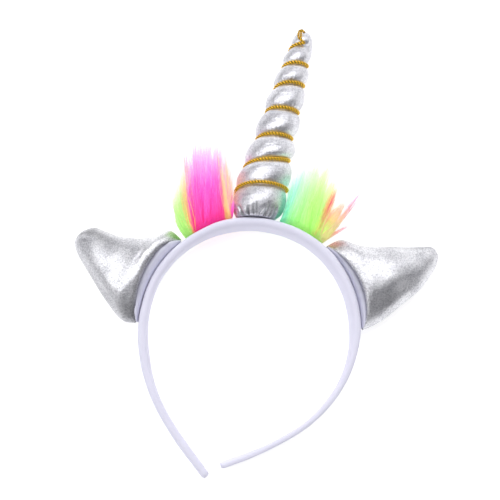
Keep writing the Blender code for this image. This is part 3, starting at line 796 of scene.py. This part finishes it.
def foot_gathers(turn, lift):
    """Creases that run up from the seam, as shares of the gathers' depth, for each line and height."""
    draw = np.random.default_rng(SEED * 10 + 4)
    middles = (np.arange(GATHERS) + draw.uniform(-GATHER_SHIFT, GATHER_SHIFT, GATHERS)) / GATHERS - 0.5
    slants = draw.uniform(-GATHER_SLANT, GATHER_SLANT, GATHERS)
    lengths = draw.uniform(*GATHER_LENGTHS, GATHERS)
    depths = draw.uniform(*GATHER_DEPTHS, GATHERS)
    total = 0.0
    for middle, slant, length, depth in zip(middles, slants, lengths, depths):
        apart = turn - middle - slant * lift
        apart = apart - np.round(apart)
        fade = np.clip(1 - lift / length, 0, 1) ** GATHER_FADE
        total = np.maximum(total, depth * fade * np.exp(-(apart / GATHER_WIDTH) ** 2))
    return total


def soft_minimum(first, second, softness):
    """The smaller of two radii, with a rounded change from one to the other."""
    middle = 10
    shares = np.exp(-(first - middle) / softness) + np.exp(-(second - middle) / softness)
    return -softness * np.log(shares) + middle


def painted_shade_colours(shade):
    """Painted shade, one grey a point, as a colour attribute holds it."""
    shade = np.ravel(shade)
    return np.column_stack((shade, shade, shade, np.ones(len(shade))))


def horn_piece(horn, band, material):
    """The stuffed horn, cut along the band it is sewn to, with its gathered foot under the bulges."""
    turn = (np.arange(HORN_LINES_ROUND) / HORN_LINES_ROUND - 0.5)[:, None]
    foot = Table(FOOT_COLUMNS, FOOT_ROWS)
    lift = FOOT_HEIGHT * np.linspace(0, 1, FOOT_RINGS)[None, :] ** RINGS_TO_SEAM
    gathers = foot_gathers(turn, lift)
    along = lift + 0 * turn
    for _ in range(FOOT_PASSES):
        skin = horn_radius(horn, np.maximum(along, 0.2), turn)
        spread = foot("radius", lift)
        radius = soft_minimum(skin, spread, FOOT_BLEND)
        radius = radius - foot("gather", lift) * gathers
        radius[:, 0] = FOOT_ROWS[0][1]
        point = horn.round(along, radius, turn)
        angle = np.degrees(np.arctan2(point[..., 1], point[..., 0]))
        target = band.outer_radius(angle) + STITCH_GAP + lift
        along = along + target - np.hypot(point[..., 0], point[..., 1])
    start = along[:, -1:]
    share = np.linspace(0, 1, HORN_RINGS - FOOT_RINGS + 1)[None, 1:]
    share = 1 - (1 - share) ** RINGS_TO_TIP
    beyond = start + share * (HORN_LENGTH - TIP_GAP - start)
    upper = horn_radius(horn, beyond, turn)
    blend = np.clip((beyond - start) / FOOT_JOIN, 0, 1)
    step = radius[:, -1:] - horn_radius(horn, start, turn)
    upper = upper + step * (1 - blend) ** 2
    rings = np.concatenate((point, horn.round(beyond, upper, turn)), axis=1).transpose(1, 0, 2)
    points, faces = closed_tube(rings)
    # Painted shade in the foot's gathers, which the colour attribute lays on the foil
    shade = np.ones((HORN_RINGS, HORN_LINES_ROUND))
    shade[:FOOT_RINGS] -= PAINTED_FOLD_SHADE * (gathers * np.clip(lift / FOLD_RISE, FOLD_LEAST, 1)).T
    return make_piece("lame_horn", points, faces, material, painted_shade_colours(np.append(shade, END_PAINTED_SHADES)))


def rope_lines(horn):
    """The rope's middle line along the groove and up into the loop, and the loop's second strand.

    Each line comes with the rope's thickness along it, as a share of ROPE_RADIUS.
    """
    start = SPIRAL_ROWS[0][0]
    turn = np.linspace(start, ROPE_END, int((ROPE_END - start) * ROPE_STEPS_PER_TURN))
    radius = horn.floor_radius(turn) + SEAM_GAP + ROPE_RADIUS
    wound = horn.round(horn.along_at(turn), radius, turn)
    loop = smooth_line([wound[-1]] + [horn.place(*row) for row in LOOP_ROWS], LOOP_STEPS)[1:]
    second = smooth_line([horn.place(*row) for row in SECOND_STRAND_ROWS], LOOP_STEPS)
    narrowed = np.clip(np.arange(len(loop)) / (LOOP_NARROWING * LOOP_STEPS), 0, 1)
    shares = np.concatenate((np.ones(len(wound)), 1 - narrowed * (1 - LOOP_ROPE_SHARE)))
    return (
        (np.concatenate((wound, loop)), shares),
        (second, np.full(len(second), LOOP_ROPE_SHARE)),
    )


def carried_frames(path):
    """Two directions square to a path at each of its points, carried on without twist."""
    runs = unit(np.gradient(path, axis=0))
    sides = np.empty_like(path)
    side = UPWARD
    for number, run in enumerate(runs):
        side = unit(side - run * np.dot(side, run))
        sides[number] = side
    return sides, np.cross(runs, sides)


def rope_piece(horn, material):
    """Twisted strands of gold, with painted shade where they turn in to each other."""
    points, quads, fans, colours = [], [], [], []
    around = 2 * math.pi * np.arange(STRAND_SIDES) / STRAND_SIDES
    # Painted shade on the side of each strand that turns in
    outness = np.clip((np.cos(around) - STRAND_PAINTED_SHADE_BELOW) / STRAND_PAINTED_SHADE_FADE, 0, 1)[:, None]
    ring_colour = outness * linear(STRAND_BRIGHT) + (1 - outness) * linear(STRAND_PAINTED_SHADE)
    for path, share in rope_lines(horn):
        sides, others = carried_frames(path)
        length = np.concatenate(([0.0], np.cumsum(np.linalg.norm(np.diff(path, axis=0), axis=1))))
        for strand in range(ROPE_STRANDS):
            twist = 2 * math.pi * (length / ROPE_PITCH + strand / ROPE_STRANDS)
            out = np.cos(twist)[:, None] * sides + np.sin(twist)[:, None] * others
            line = path + ((ROPE_RADIUS - STRAND_RADIUS) * share)[:, None] * out
            runs = unit(np.gradient(line, axis=0))
            out = unit(out - runs * (out * runs).sum(axis=1)[:, None])
            across = np.cross(runs, out)
            rings = line[:, None] + (STRAND_RADIUS * share)[:, None, None] * (
                np.cos(around)[None, :, None] * out[:, None]
                + np.sin(around)[None, :, None] * across[:, None]
            )
            made, (sides_made, ends_made) = closed_tube(rings)
            first = sum(len(part) for part in points)
            points.append(made)
            quads.append(sides_made + first)
            fans.append(ends_made + first)
            colours += [np.tile(ring_colour, (len(path), 1)), np.tile(linear(STRAND_PAINTED_SHADE), (2, 1))]
    faces = [np.concatenate(quads), np.concatenate(fans)]
    colours = np.concatenate(colours)
    colours = np.column_stack((colours, np.ones(len(colours))))
    return make_piece("twisted_gold_cord", np.concatenate(points), faces, material, colours)


def strip_piece(name, band, rows, material):
    """The padded lining strip between an ear and the band."""
    read = Table(STRIP_COLUMNS, rows)
    waves = Ripple(5, shortest=4.0, longest=11.0)
    rings = []
    for angle in np.linspace(rows[0][0], rows[-1][0], STRIP_STATIONS):
        depth = float(read("depth", angle))
        low, high = float(read("low", angle)), float(read("high", angle))
        near, far = STITCH_GAP, STITCH_GAP + depth
        high += STRIP_RIPPLE * float(waves(angle * STRIP_SPACING))
        corners = [(near + out * depth, low + up * (high - low)) for out, up in STRIP_SECTION_ROWS]
        loop = smooth_loop(corners, STRIP_SECTION_STEPS)
        loop[:, 0] = np.clip(loop[:, 0], near, far)
        rings.append(band.over(angle, loop[:, 0], loop[:, 1]))
    points, faces = closed_tube(np.array(rings))
    return make_piece(name, points, faces, material)


def soft_patches(rows, reach, across):
    """Soft round patches added up at each place: the dents' depth, or the share of colour taken away as
    painted shade.
    """
    total = 0.0
    for at_reach, at_across, size_reach, size_across, depth in rows:
        away = ((reach - at_reach) / size_reach) ** 2 + ((across - at_across) / size_across) ** 2
        total = total + depth * np.exp(-away)
    return total


def ear_rings(band, rows, strip_rows, across):
    """Where each section is along the ear, and its front and its back as rows of points."""
    strip = Table(STRIP_COLUMNS, strip_rows)
    first, last = strip_rows[0][0], strip_rows[-1][0]
    overhang = math.copysign(EAR_BASE_MARGIN, last - first)
    middle_angle = math.radians((first + last) / 2)
    outward = np.array((math.cos(middle_angle), math.sin(middle_angle)))
    angle = first - overhang + across * (last - first + 2 * overhang)
    height = EAR_SEAT + strip("depth", angle)
    full = pillow(across, *EAR_PILLOW)
    fronts, backs = [], []
    for half, lean in ((EAR_SEAM_HALF, 0.0), (EAR_BASE_HALF, EAR_LIP)):
        lift = half * full
        lip = height - lean * full
        fronts.append(band.over(angle, lip, EAR_BASE_MIDDLE + lift))
        backs.append(band.over(angle, lip, EAR_BASE_MIDDLE - lift))
    for _, upper_x, upper_y, lower_x, lower_y, half, middle, bow in rows:
        upper, lower = np.array((upper_x, upper_y)), np.array((lower_x, lower_y))
        chord = (1 - across)[:, None] * upper + across[:, None] * lower
        place = chord + (4 * bow * across * (1 - across))[:, None] * outward
        lift = half * full
        fronts.append(np.column_stack((place, middle + lift)))
        backs.append(np.column_stack((place, middle - lift)))
    return np.array([0.0, EAR_LIP_REACH] + [row[0] for row in rows]), np.array(fronts), np.array(backs)


def along_rows(keys, shapes, at):
    """Shapes at places along a table's rows, read on smooth curves without overshoot."""
    steps = np.diff(keys)
    slopes = calm_slopes(shapes, steps)
    row = np.clip(np.searchsorted(keys, at, side="right") - 1, 0, len(steps) - 1)
    share = ((at - keys[row]) / steps[row])[:, None, None]
    step = steps[row][:, None, None]
    return smooth_between(share, step, shapes[row], shapes[row + 1], slopes[row], slopes[row + 1])


def ear_piece(name, band, rows, strip_rows, dents, painted_shades, seed, material):
    """A stuffed ear: front and back panels that meet in a puckered seam all round."""
    across = 0.5 - 0.5 * np.cos(np.linspace(0.0, math.pi, EAR_STEPS_ACROSS))
    keys, fronts, backs = ear_rings(band, rows, strip_rows, across)
    reach = 1 - (1 - np.linspace(0.0, 1.0, EAR_STEPS_ALONG)) ** EAR_STEPS_TO_TIP
    front = along_rows(keys, fronts, reach)
    back = along_rows(keys, backs, reach)
    full = pillow(across, *EAR_PILLOW)[None, :]
    pressed = soft_patches(dents, reach[:, None], across[None, :]) * full
    pucker = Ripple(seed, shortest=2.2, longest=5.5, waves=16)
    crease = Ripple(seed + 1, shortest=12.0, longest=30.0, waves=18, dimensions=2)
    width = np.linalg.norm(front[:, 0] - front[:, -1], axis=1)[:, None]
    other_edge = EAR_FAR_EDGE * (across[None, :] > 0.5)
    along_edge = EAR_LENGTH * reach[:, None] + other_edge
    seam = np.exp(-np.minimum(across, 1 - across)[None, :] * width / EAR_PUCKER_REACH)
    fold = 0.5 + 0.5 * np.tanh(EAR_PUCKER_SHARPNESS * pucker(along_edge))
    near_seam = EAR_PUCKER * fold * seam * (1 - full) ** EAR_PUCKER_FADE
    soft = EAR_CREASE * crease(front[..., 0], front[..., 1]) * full
    ends = np.clip(reach / EAR_CALM_BASE, 0, 1) * np.clip((1 - reach) / EAR_CALM_TIP, 0, 1)
    ends = ends[:, None]
    front[..., 2] -= pressed + (near_seam + soft) * ends
    back[..., 2] += (near_seam - soft) * ends
    rings = np.concatenate((front, back[:, -2:0:-1]), axis=1)
    rows_made, count, _ = rings.shape
    # Painted shade and painted dark reflections on each ear's front, held in the colour attribute
    shade = np.ones((rows_made, count))
    shade[:, :len(across)] -= soft_patches(painted_shades, reach[:, None], across[None, :])
    shade = np.maximum(shade, DARKEST_PAINTED_SHADE)
    quads, triangles = [grid_faces(rows_made, count)], []
    half = count // 2
    step = np.arange(1, half - 1)
    for start, way in ((0, -1), ((rows_made - 1) * count, 1)):
        near, far = start + step, start + count - step
        quads.append(np.stack((near, near + 1, far - 1, far), axis=1)[:, ::way])
        triangles.append(np.array((
            (start, start + 1, start + count - 1),
            (start + half, start + half + 1, start + half - 1),
        ))[:, ::way])
    return make_piece(name, rings.reshape(-1, 3), quads + triangles, material, painted_shade_colours(shade))


class Tuft:
    """The strands of one tuft, each drawn to the lock that it belongs to, and its single locks."""

    def __init__(self, rows, lock_rows, seed):
        self.draw = draw = np.random.default_rng(SEED * 100 + seed)
        self.read = Table(FUR_COLUMNS, rows)
        self.lock_rows = lock_rows
        first, last = rows[0][0], rows[-1][0]
        across = FUR_SEAT_RADIUS * math.pi / 180
        along = int(abs(first - last) * across / FUR_LOCK_WIDTH)
        lock_angle = np.repeat((np.arange(along) + 0.5) / along, FUR_LOCKS_UP)
        lock_angle = lock_angle + draw.uniform(-0.4, 0.4, lock_angle.size) / along
        lock_up = np.tile((np.arange(FUR_LOCKS_UP) + 0.5) / FUR_LOCKS_UP, along)
        lock_up = lock_up + draw.uniform(-0.35, 0.35, lock_up.size) / FUR_LOCKS_UP
        lock_angle = first + np.clip(lock_angle, 0, 1) * (last - first)
        lock_up = (2 * np.clip(lock_up, 0, 1) - 1) * FUR_SEAT_HALF
        lock_stretch = draw.uniform(*LOCK_STRETCHES, lock_angle.size)
        lock_lean = draw.normal(0, LOCK_LEAN, lock_angle.size)
        lock_bow = draw.normal(0, LOCK_BOW, lock_angle.size)

        count = FUR_STRANDS
        self.angle = first + draw.uniform(0, 1, count) * (last - first)
        self.up = draw.uniform(-1, 1, count) * FUR_SEAT_HALF
        away = ((self.angle[:, None] - lock_angle[None, :]) * across) ** 2
        away = away + (self.up[:, None] - lock_up[None, :]) ** 2
        away = away + draw.uniform(0, 1.6, away.shape)
        lock = away.argmin(axis=1)
        stretch = lock_stretch[lock] * (SHORTEST + MORE_LENGTH * draw.uniform(0, 1, count) ** LENGTHS_LOW)
        self.loose = draw.uniform(0, 1, count) < LOOSE_SHARE
        self.stretch = np.where(self.loose, stretch * draw.uniform(*LOOSE_STRETCHES, count), stretch)
        self.gather = np.where(self.loose, LOOSE_GATHER, draw.uniform(*LOCK_GATHERS, count))
        self.sway = draw.normal(0, 0.55, (count, 2))
        self.sway += np.where(self.loose[:, None], draw.normal(0, 2.1, (count, 2)), 0)
        self.guide_angle, self.guide_up = lock_angle[lock], lock_up[lock]
        self.length = self.read("length", self.guide_angle) * self.stretch
        self.lean = self.read("lean", self.guide_angle) + lock_lean[lock]
        self.bow = self.read("bow", self.guide_angle) + lock_bow[lock]
        for row in lock_rows:
            self.add_lock(*row)

    def add_lock(self, at, strands, width, at_up, length, lean, bow):
        """One single lock's strands, after those of the tuft."""
        draw = self.draw
        added = {
            "angle": at + width * draw.uniform(-0.5, 0.5, strands),
            "up": at_up + draw.uniform(-0.9, 0.9, strands),
            "guide_angle": np.full(strands, at),
            "guide_up": np.full(strands, at_up),
            "length": length * draw.uniform(0.45, 1.0, strands),
            "lean": lean + draw.normal(0, 0.8, strands),
            "bow": bow + draw.normal(0, 0.3, strands),
            "gather": draw.uniform(0.25, 0.80, strands),
            "sway": draw.normal(0, 0.25, (strands, 2)),
            "loose": np.zeros(strands, dtype=bool),
            "stretch": np.ones(strands),
        }
        for name, values in added.items():
            setattr(self, name, np.append(getattr(self, name), values, axis=0))

    def lines(self, band, reach):
        """Each strand's line from its root, with its lean, its bow, its pull to the lock and its sway."""
        root = band.over(self.angle, FUR_ROOT_HEIGHT, self.up)
        guide_root = band.over(self.guide_angle, FUR_ROOT_HEIGHT, self.guide_up)
        droop = self.read("droop", self.guide_angle)[:, None]
        lean, length, bow = np.radians(self.lean)[:, None], self.length[:, None], self.bow[:, None]
        swell = np.sin(math.pi * reach)
        x = np.sin(lean) * length * reach + np.cos(lean) * bow * swell
        y = np.cos(lean) * length * reach - np.sin(lean) * bow * swell
        z = self.guide_up[:, None] * FUR_SPREAD * swell - droop * reach ** FUR_CURVE
        apart = (root - guide_root)[:, None, :] * (1 - self.gather[:, None] * reach ** LOCK_CURVE)[..., None]
        line = guide_root[:, None, :] + np.stack((x, y, z), axis=-1) + apart
        line[..., 0] += self.sway[:, :1] * reach ** FUR_CURVE
        line[..., 2] += self.sway[:, 1:] * reach ** FUR_CURVE
        lowest = FUR_LOWEST - ROW_SHIFT[2] - (line[..., 1] * math.sin(math.radians(PLANE_RISE)))
        line[..., 2] = np.maximum(line[..., 2], lowest)
        return line

    def colours(self, dyes, lock_dyes, reach):
        """Each strand's colours from root to tip, by where it grows, with a little of its neighbours'."""
        draw = self.draw
        dye_and_painted_shade = Table(DYE_COLUMNS, dyes)
        count = len(self.angle)
        tone = self.angle + draw.normal(0, 0.35, count)
        tone = np.where(self.loose, tone + draw.normal(0, 1.0, count), tone)
        stops = [
            np.stack([dye_and_painted_shade(f"{stop}_{channel}", tone) for channel in "rgb"], axis=-1)
            for stop in ("root", "middle", "tip")
        ]
        stops = np.stack(stops, axis=1)
        first = FUR_STRANDS
        for (_, strands, *_), lock_dye in zip(self.lock_rows, lock_dyes):
            stops[first:first + strands] = np.array(lock_dye)[None]
            first += strands
        stops = linear(stops)
        place = reach * (0.4 + 0.6 * self.stretch[:, None])
        in_lock = np.arange(count)[:, None] >= FUR_STRANDS
        place = np.where(in_lock, (place - LOCK_DYE_START) / (1 - LOCK_DYE_START), place)
        place = np.clip(place + draw.normal(0, 0.06, count)[:, None], 0, 1)
        lower = np.clip(place / DYE_MIDDLE, 0, 1)[..., None]
        upper = np.clip((place - DYE_MIDDLE) / DYE_TIP_REACH, 0, 1)[..., None]
        colour = stops[:, :1] * (1 - lower) + stops[:, 1:2] * (lower - upper) + stops[:, 2:3] * upper
        return np.clip(colour * draw.uniform(0.92, 1.06, count)[:, None, None], 0, 1)


def strand_tubes(line, radii, spin):
    """Points and faces of three-sided tubes along lines (strands, steps, 3)."""
    count, steps, _ = line.shape
    runs = unit(np.gradient(line, axis=1))
    sides = unit(np.cross(runs, UPWARD))
    others = np.cross(sides, runs)
    turns = [spin + 2 * math.pi * corner / 3 for corner in range(3)]
    corners = [line + radii * (np.cos(turn) * sides + np.sin(turn) * others) for turn in turns]
    points = np.stack(corners, axis=2)
    base = np.arange(count)[:, None, None] * steps * 3
    step = np.arange(steps - 1)[None, :, None] * 3
    corner = np.arange(3)[None, None, :]
    following = (corner + 1) % 3
    quads = np.stack((
        base + step + corner, base + step + following,
        base + step + 3 + following, base + step + 3 + corner,
    ), axis=-1).reshape(-1, 4)
    base = base[:, 0, 0]
    ends = np.concatenate((
        np.stack([base + 2, base + 1, base], axis=1),
        np.stack([base + steps * 3 - 3 + number for number in range(3)], axis=1),
    ))
    return points.reshape(-1, 3), [quads, ends]


def fur_piece(name, band, rows, dyes, lock_rows, lock_dyes, seed, material):
    """A tuft of long strands that gather into pointed locks, each strand a thin tapered tube."""
    tuft = Tuft(rows, lock_rows, seed)
    reach = np.linspace(0, 1, len(FUR_RADII))[None, :]
    line = tuft.lines(band, reach)
    count = len(line)
    radii = np.array(FUR_RADII)[None, :, None] * tuft.draw.uniform(0.8, 1.2, count)[:, None, None]
    spin = tuft.draw.uniform(0, 2 * math.pi, count)[:, None, None]
    points, faces = strand_tubes(line, radii, spin)
    colour = tuft.colours(dyes, lock_dyes, reach)
    colour = np.repeat(colour[:, :, None, :], 3, axis=2).reshape(-1, 3)
    colours = np.column_stack((colour, np.ones(len(colour))))
    return make_piece(name, points, faces, material, colours)


def fill_ramp(ramp, stops):
    """Sets a colour ramp's stops, each a place from 0 to 1 and a colour."""
    while len(ramp.elements) < len(stops):
        ramp.elements.new(0.5)
    for element, (place, colour) in zip(ramp.elements, stops):
        element.position = place
        element.color = (*colour, 1.0)


class Nodes:
    """A material's node tree, with short calls that add and link its nodes."""

    def __init__(self, name, colour, metallic, roughness, **constants):
        self.material = bpy.data.materials.new(name)
        self.material.use_nodes = True
        self.tree = self.material.node_tree
        self.shader = self.tree.nodes["Principled BSDF"]
        self.shader.inputs["Base Color"].default_value = (*colour, 1.0)
        self.shader.inputs["Metallic"].default_value = metallic
        self.shader.inputs["Roughness"].default_value = roughness
        for socket, value in constants.items():
            self.shader.inputs[socket.replace("_", " ")].default_value = value
        self.place = self.add("ShaderNodeTexCoord").outputs["Object"]

    def add(self, kind, **settings):
        node = self.tree.nodes.new(kind)
        for name, value in settings.items():
            setattr(node, name, value)
        return node

    def link(self, start, end):
        self.tree.links.new(start, end)

    def noise(self, scale, detail=3.0, rough=0.55):
        node = self.add("ShaderNodeTexNoise")
        node.inputs["Scale"].default_value = scale
        node.inputs["Detail"].default_value = detail
        node.inputs["Roughness"].default_value = rough
        self.link(self.place, node.inputs["Vector"])
        return node.outputs["Fac"]

    def cells(self, scale):
        node = self.add("ShaderNodeTexVoronoi")
        node.inputs["Scale"].default_value = scale
        self.link(self.place, node.inputs["Vector"])
        return node

    def spread(self, value, low, high, to_low, to_high):
        node = self.add("ShaderNodeMapRange")
        limits = {"From Min": low, "From Max": high, "To Min": to_low, "To Max": to_high}
        for socket, number in limits.items():
            node.inputs[socket].default_value = number
        self.link(value, node.inputs["Value"])
        return node.outputs["Result"]

    def ramp(self, value, stops):
        node = self.add("ShaderNodeValToRGB")
        fill_ramp(node.color_ramp, stops)
        self.link(value, node.inputs["Fac"])
        return node.outputs["Color"]

    def bump(self, height, distance, strength, before=None):
        node = self.add("ShaderNodeBump")
        node.inputs["Distance"].default_value = distance
        node.inputs["Strength"].default_value = strength
        self.link(height, node.inputs["Height"])
        if before is not None:
            self.link(before, node.inputs["Normal"])
        return node.outputs["Normal"]

    def multiply(self, first, second):
        node = self.add("ShaderNodeMix", data_type="RGBA", blend_type="MULTIPLY")
        node.inputs["Factor"].default_value = 1.0
        self.link(first, node.inputs["A"])
        self.link(second, node.inputs["B"])
        return node.outputs["Result"]

    def dye_and_painted_shade(self):
        """The colour attribute of each piece: dye on the fur, gold with painted shade on the cord, painted
        shade on the silver.
        """
        return self.add("ShaderNodeVertexColor", layer_name="dye_and_painted_shade").outputs["Color"]

    def feed(self, value, socket):
        self.link(value, self.shader.inputs[socket])


def lame_material(name, bright, dark, roughness):
    """Silver lame: foil threads in a fine knit, with sparkle from stitch to stitch, and painted shade from
    the colour attribute in the folds and on the ears.
    """
    made = Nodes(name, bright, 1.0, roughness)
    speckle = made.noise(1050.0, detail=3.0, rough=0.7)
    cloud = made.noise(90.0)
    mixed = made.add("ShaderNodeMath", operation="MULTIPLY_ADD")
    mixed.inputs[1].default_value = 0.75
    made.link(speckle, mixed.inputs[0])
    made.link(made.spread(cloud, 0.3, 0.7, 0.05, 0.20), mixed.inputs[2])
    foil = made.ramp(mixed.outputs["Value"], ((0.36, dark), (0.60, bright)))
    # The colour attribute darkens the foil with painted shade
    made.feed(made.multiply(foil, made.dye_and_painted_shade()), "Base Color")
    made.feed(made.spread(speckle, 0.3, 0.7, roughness + 0.08, roughness - 0.08), "Roughness")
    stitches = made.cells(1300.0).outputs["Distance"]
    woven = made.bump(stitches, 0.00006, 0.7)
    grain = made.bump(speckle, 0.00034, 0.9, woven)
    made.feed(made.bump(made.noise(420.0), 0.0005, 0.20, grain), "Normal")
    return made.material


def satin_material(name, light, shade, roughness, sheen):
    """Satin: close threads with a soft shine."""
    shine = {"Sheen_Weight": sheen, "Sheen_Roughness": 0.4, "Specular_IOR_Level": 0.4}
    made = Nodes(name, light, 0.0, roughness, **shine)
    cloud = made.noise(70.0, detail=4.0)
    made.feed(made.ramp(cloud, ((0.35, shade), (0.65, light))), "Base Color")
    threads = made.noise(2600.0, detail=1.0)
    fine = made.bump(threads, 0.0001, 0.35)
    made.feed(made.bump(made.noise(160.0), 0.0006, 0.18, fine), "Normal")
    made.feed(made.spread(threads, 0.3, 0.7, roughness - 0.05, roughness + 0.07), "Roughness")
    return made.material


def gold_material():
    """Gold foil thread, with painted shade where the strands turn under, from the colour attribute, and a
    painted glow from its emission.
    """
    # Emission in the colour attribute's colours: a painted glow
    made = Nodes("gold_foil_thread", (0.85, 0.50, 0.06), 0.75, 0.20, Emission_Strength=0.36)
    dye_and_painted_shade = made.dye_and_painted_shade()
    made.feed(dye_and_painted_shade, "Base Color")
    made.feed(dye_and_painted_shade, "Emission Color")
    made.feed(made.bump(made.noise(3200.0, detail=1.0), 0.00012, 0.5), "Normal")
    return made.material


def fur_material():
    """Dyed pile: the colour is each strand's own, with a soft sheen and a painted glow in the same colour
    from its emission.
    """
    # Emission in each strand's own colour: a painted glow
    painted_glow = {"Sheen_Weight": 0.1, "Specular_IOR_Level": 0.2, "Emission_Strength": 0.33}
    made = Nodes("dyed_pile", (1.0, 0.5, 0.7), 0.0, 0.55, **painted_glow)
    streak = made.ramp(made.noise(900.0, detail=2.0), ((0.3, (0.92, 0.92, 0.92)), (0.7, (1.0, 1.0, 1.0))))
    dyed = made.multiply(made.dye_and_painted_shade(), streak)
    made.feed(dyed, "Base Color")
    made.feed(dyed, "Emission Color")
    return made.material


def floor_material():
    """A pale ground that glows softly, as a light table does."""
    made = Nodes("pale_floor", (0.5, 0.5, 0.5), 0.0, 0.7, Specular_IOR_Level=0.2, Emission_Strength=0.74)
    made.shader.inputs["Emission Color"].default_value = (1.0, 1.0, 1.0, 1.0)
    cloud = ((0.3, (0.49, 0.49, 0.495)), (0.7, (0.51, 0.51, 0.515)))
    made.feed(made.ramp(made.noise(8.0), cloud), "Base Color")
    return made.material


def add_camera():
    """A long lens almost straight above, leaned a little towards the band's ends."""
    tilt = math.radians(CAMERA_TILT)
    target = np.array(CAMERA_TARGET)
    eye = target + CAMERA_DISTANCE * np.array((0.0, -math.sin(tilt), math.cos(tilt)))
    data = bpy.data.cameras.new("camera")
    data.lens = CAMERA_LENS
    data.sensor_width = CAMERA_SENSOR
    data.clip_start = 0.01
    data.clip_end = 10.0
    camera = bpy.data.objects.new("camera", data)
    camera.location = eye * MILLIMETRE
    camera.rotation_euler = (tilt, 0.0, 0.0)
    bpy.context.scene.collection.objects.link(camera)
    bpy.context.scene.camera = camera


def add_floor():
    """A wide floor just under the part."""
    mesh = bpy.data.meshes.new("floor")
    corners = [(x * FLOOR_HALF, y * FLOOR_HALF, 0) for x, y in ((-1, -1), (1, -1), (1, 1), (-1, 1))]
    mesh.from_pydata(corners, [], [(0, 1, 2, 3)])
    mesh.materials.append(floor_material())
    floor = bpy.data.objects.new("floor", mesh)
    floor.location.z = -FLOOR_DROP
    bpy.context.scene.collection.objects.link(floor)


# Lights, each aimed at the middle: name, x, y and z, width, depth, spin and power
LIGHT_ROWS = (
    ("long_softbox", -0.15, 0.27, 1.25, 2.80, 0.62, 27.0, 20.5),
    ("right_card", 1.00, 0.45, 0.55, 0.90, 0.60, 0.0, 0.9),
    ("front_card", 0.10, -1.15, 0.32, 1.80, 0.40, 0.0, 1.4),
    ("back_card", 0.10, 1.25, 0.30, 2.20, 0.36, 0.0, 4.0),
)

# The sky's light by height, from straight down at 0 to straight up at 1
SKY_STOPS = (
    (0.00, (0.70, 0.70, 0.71)),
    (0.54, (0.66, 0.66, 0.67)),
    (0.62, (0.34, 0.34, 0.35)),
    (0.70, (0.17, 0.17, 0.18)),
    (0.95, (0.15, 0.15, 0.16)),
    (1.00, (0.17, 0.17, 0.17)),
)


def add_light():
    """A long soft light overhead, three cards round the part, and a sky bright low down and dim above."""
    for name, x, y, z, width, depth, spin, power in LIGHT_ROWS:
        data = bpy.data.lights.new(name, "AREA")
        data.shape = "RECTANGLE"
        data.size, data.size_y = width, depth
        data.energy = power
        light = bpy.data.objects.new(name, data)
        light.location = (x, y, z)
        aimed = Euler((-math.atan2(y, math.hypot(x, z)), math.atan2(x, z), 0.0)).to_quaternion()
        turned = aimed @ Quaternion((0.0, 0.0, 1.0), math.radians(spin))
        light.rotation_euler = turned.to_euler()
        bpy.context.scene.collection.objects.link(light)
    world = bpy.data.worlds.new("studio")
    world.use_nodes = True
    tree = world.node_tree
    background = tree.nodes["Background"]
    place = tree.nodes.new("ShaderNodeTexCoord")
    split = tree.nodes.new("ShaderNodeSeparateXYZ")
    height = tree.nodes.new("ShaderNodeMapRange")
    height.inputs["From Min"].default_value = -1.0
    ramp = tree.nodes.new("ShaderNodeValToRGB")
    fill_ramp(ramp.color_ramp, SKY_STOPS)
    tree.links.new(place.outputs["Generated"], split.inputs["Vector"])
    tree.links.new(split.outputs["Z"], height.inputs["Value"])
    tree.links.new(height.outputs["Result"], ramp.inputs["Fac"])
    tree.links.new(ramp.outputs["Color"], background.inputs["Color"])
    bpy.context.scene.world = world


def finish_piece(piece, node):
    """Hides the part's own mesh for the node that a piece stands for, and hangs the piece on the root body.
    """
    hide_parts(node)
    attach(piece, "root")


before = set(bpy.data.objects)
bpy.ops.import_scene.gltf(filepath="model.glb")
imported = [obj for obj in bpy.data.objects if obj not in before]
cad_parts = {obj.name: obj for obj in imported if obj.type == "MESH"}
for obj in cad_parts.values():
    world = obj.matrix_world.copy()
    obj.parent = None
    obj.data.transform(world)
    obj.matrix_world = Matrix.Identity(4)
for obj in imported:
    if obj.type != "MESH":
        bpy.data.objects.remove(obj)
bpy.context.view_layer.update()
bpy.context.scene.view_settings.view_transform = "Standard"
add_camera()
add_floor()
add_light()

band = BandPath()
horn = HornAxis()
satin = satin_material("lavender_satin", (0.82, 0.81, 0.95), (0.80, 0.79, 0.93), 0.60, 0.05)
lining = satin_material("pale_lining", (0.70, 0.70, 0.82), (0.66, 0.66, 0.78), 0.60, 0.05)
horn_cloth = lame_material("silver_lame", (0.87, 0.87, 0.91), (0.48, 0.48, 0.53), 0.37)
ear_cloth = lame_material("ear_silver", (0.88, 0.88, 0.91), (0.46, 0.46, 0.50), 0.36)
pile = fur_material()

finish_piece(band_piece(band, satin), "band")
finish_piece(horn_piece(horn, band, horn_cloth), "horn")
finish_piece(rope_piece(horn, gold_material()), "gold_cord")
for side, rows in (("left", STRIP_LEFT_ROWS), ("right", STRIP_RIGHT_ROWS)):
    finish_piece(strip_piece(f"lining_{side}", band, rows, lining), f"ear_base_{side}")
for side, tables, seed in (
    ("left", (EAR_LEFT_ROWS, STRIP_LEFT_ROWS, DENT_LEFT_ROWS, PAINTED_SHADE_LEFT_ROWS), 20),
    ("right", (EAR_RIGHT_ROWS, STRIP_RIGHT_ROWS, DENT_RIGHT_ROWS, PAINTED_SHADE_RIGHT_ROWS), 30),
):
    ear = ear_piece(f"lame_ear_{side}", band, *tables, seed, ear_cloth)
    finish_piece(ear, f"ear_{side}")
for side, tables, seed, slot in (
    ("left", (FUR_LEFT_ROWS, DYE_LEFT_ROWS, LOCK_LEFT_ROWS, LOCK_LEFT_DYES), 1, "pink_fur"),
    ("right", (FUR_RIGHT_ROWS, DYE_RIGHT_ROWS, LOCK_RIGHT_ROWS, LOCK_RIGHT_DYES), 2, "lime_fur"),
):
    fur = fur_piece(f"fur_tuft_{side}", band, *tables, seed, pile)
    finish_piece(fur, f"fur_{side}")
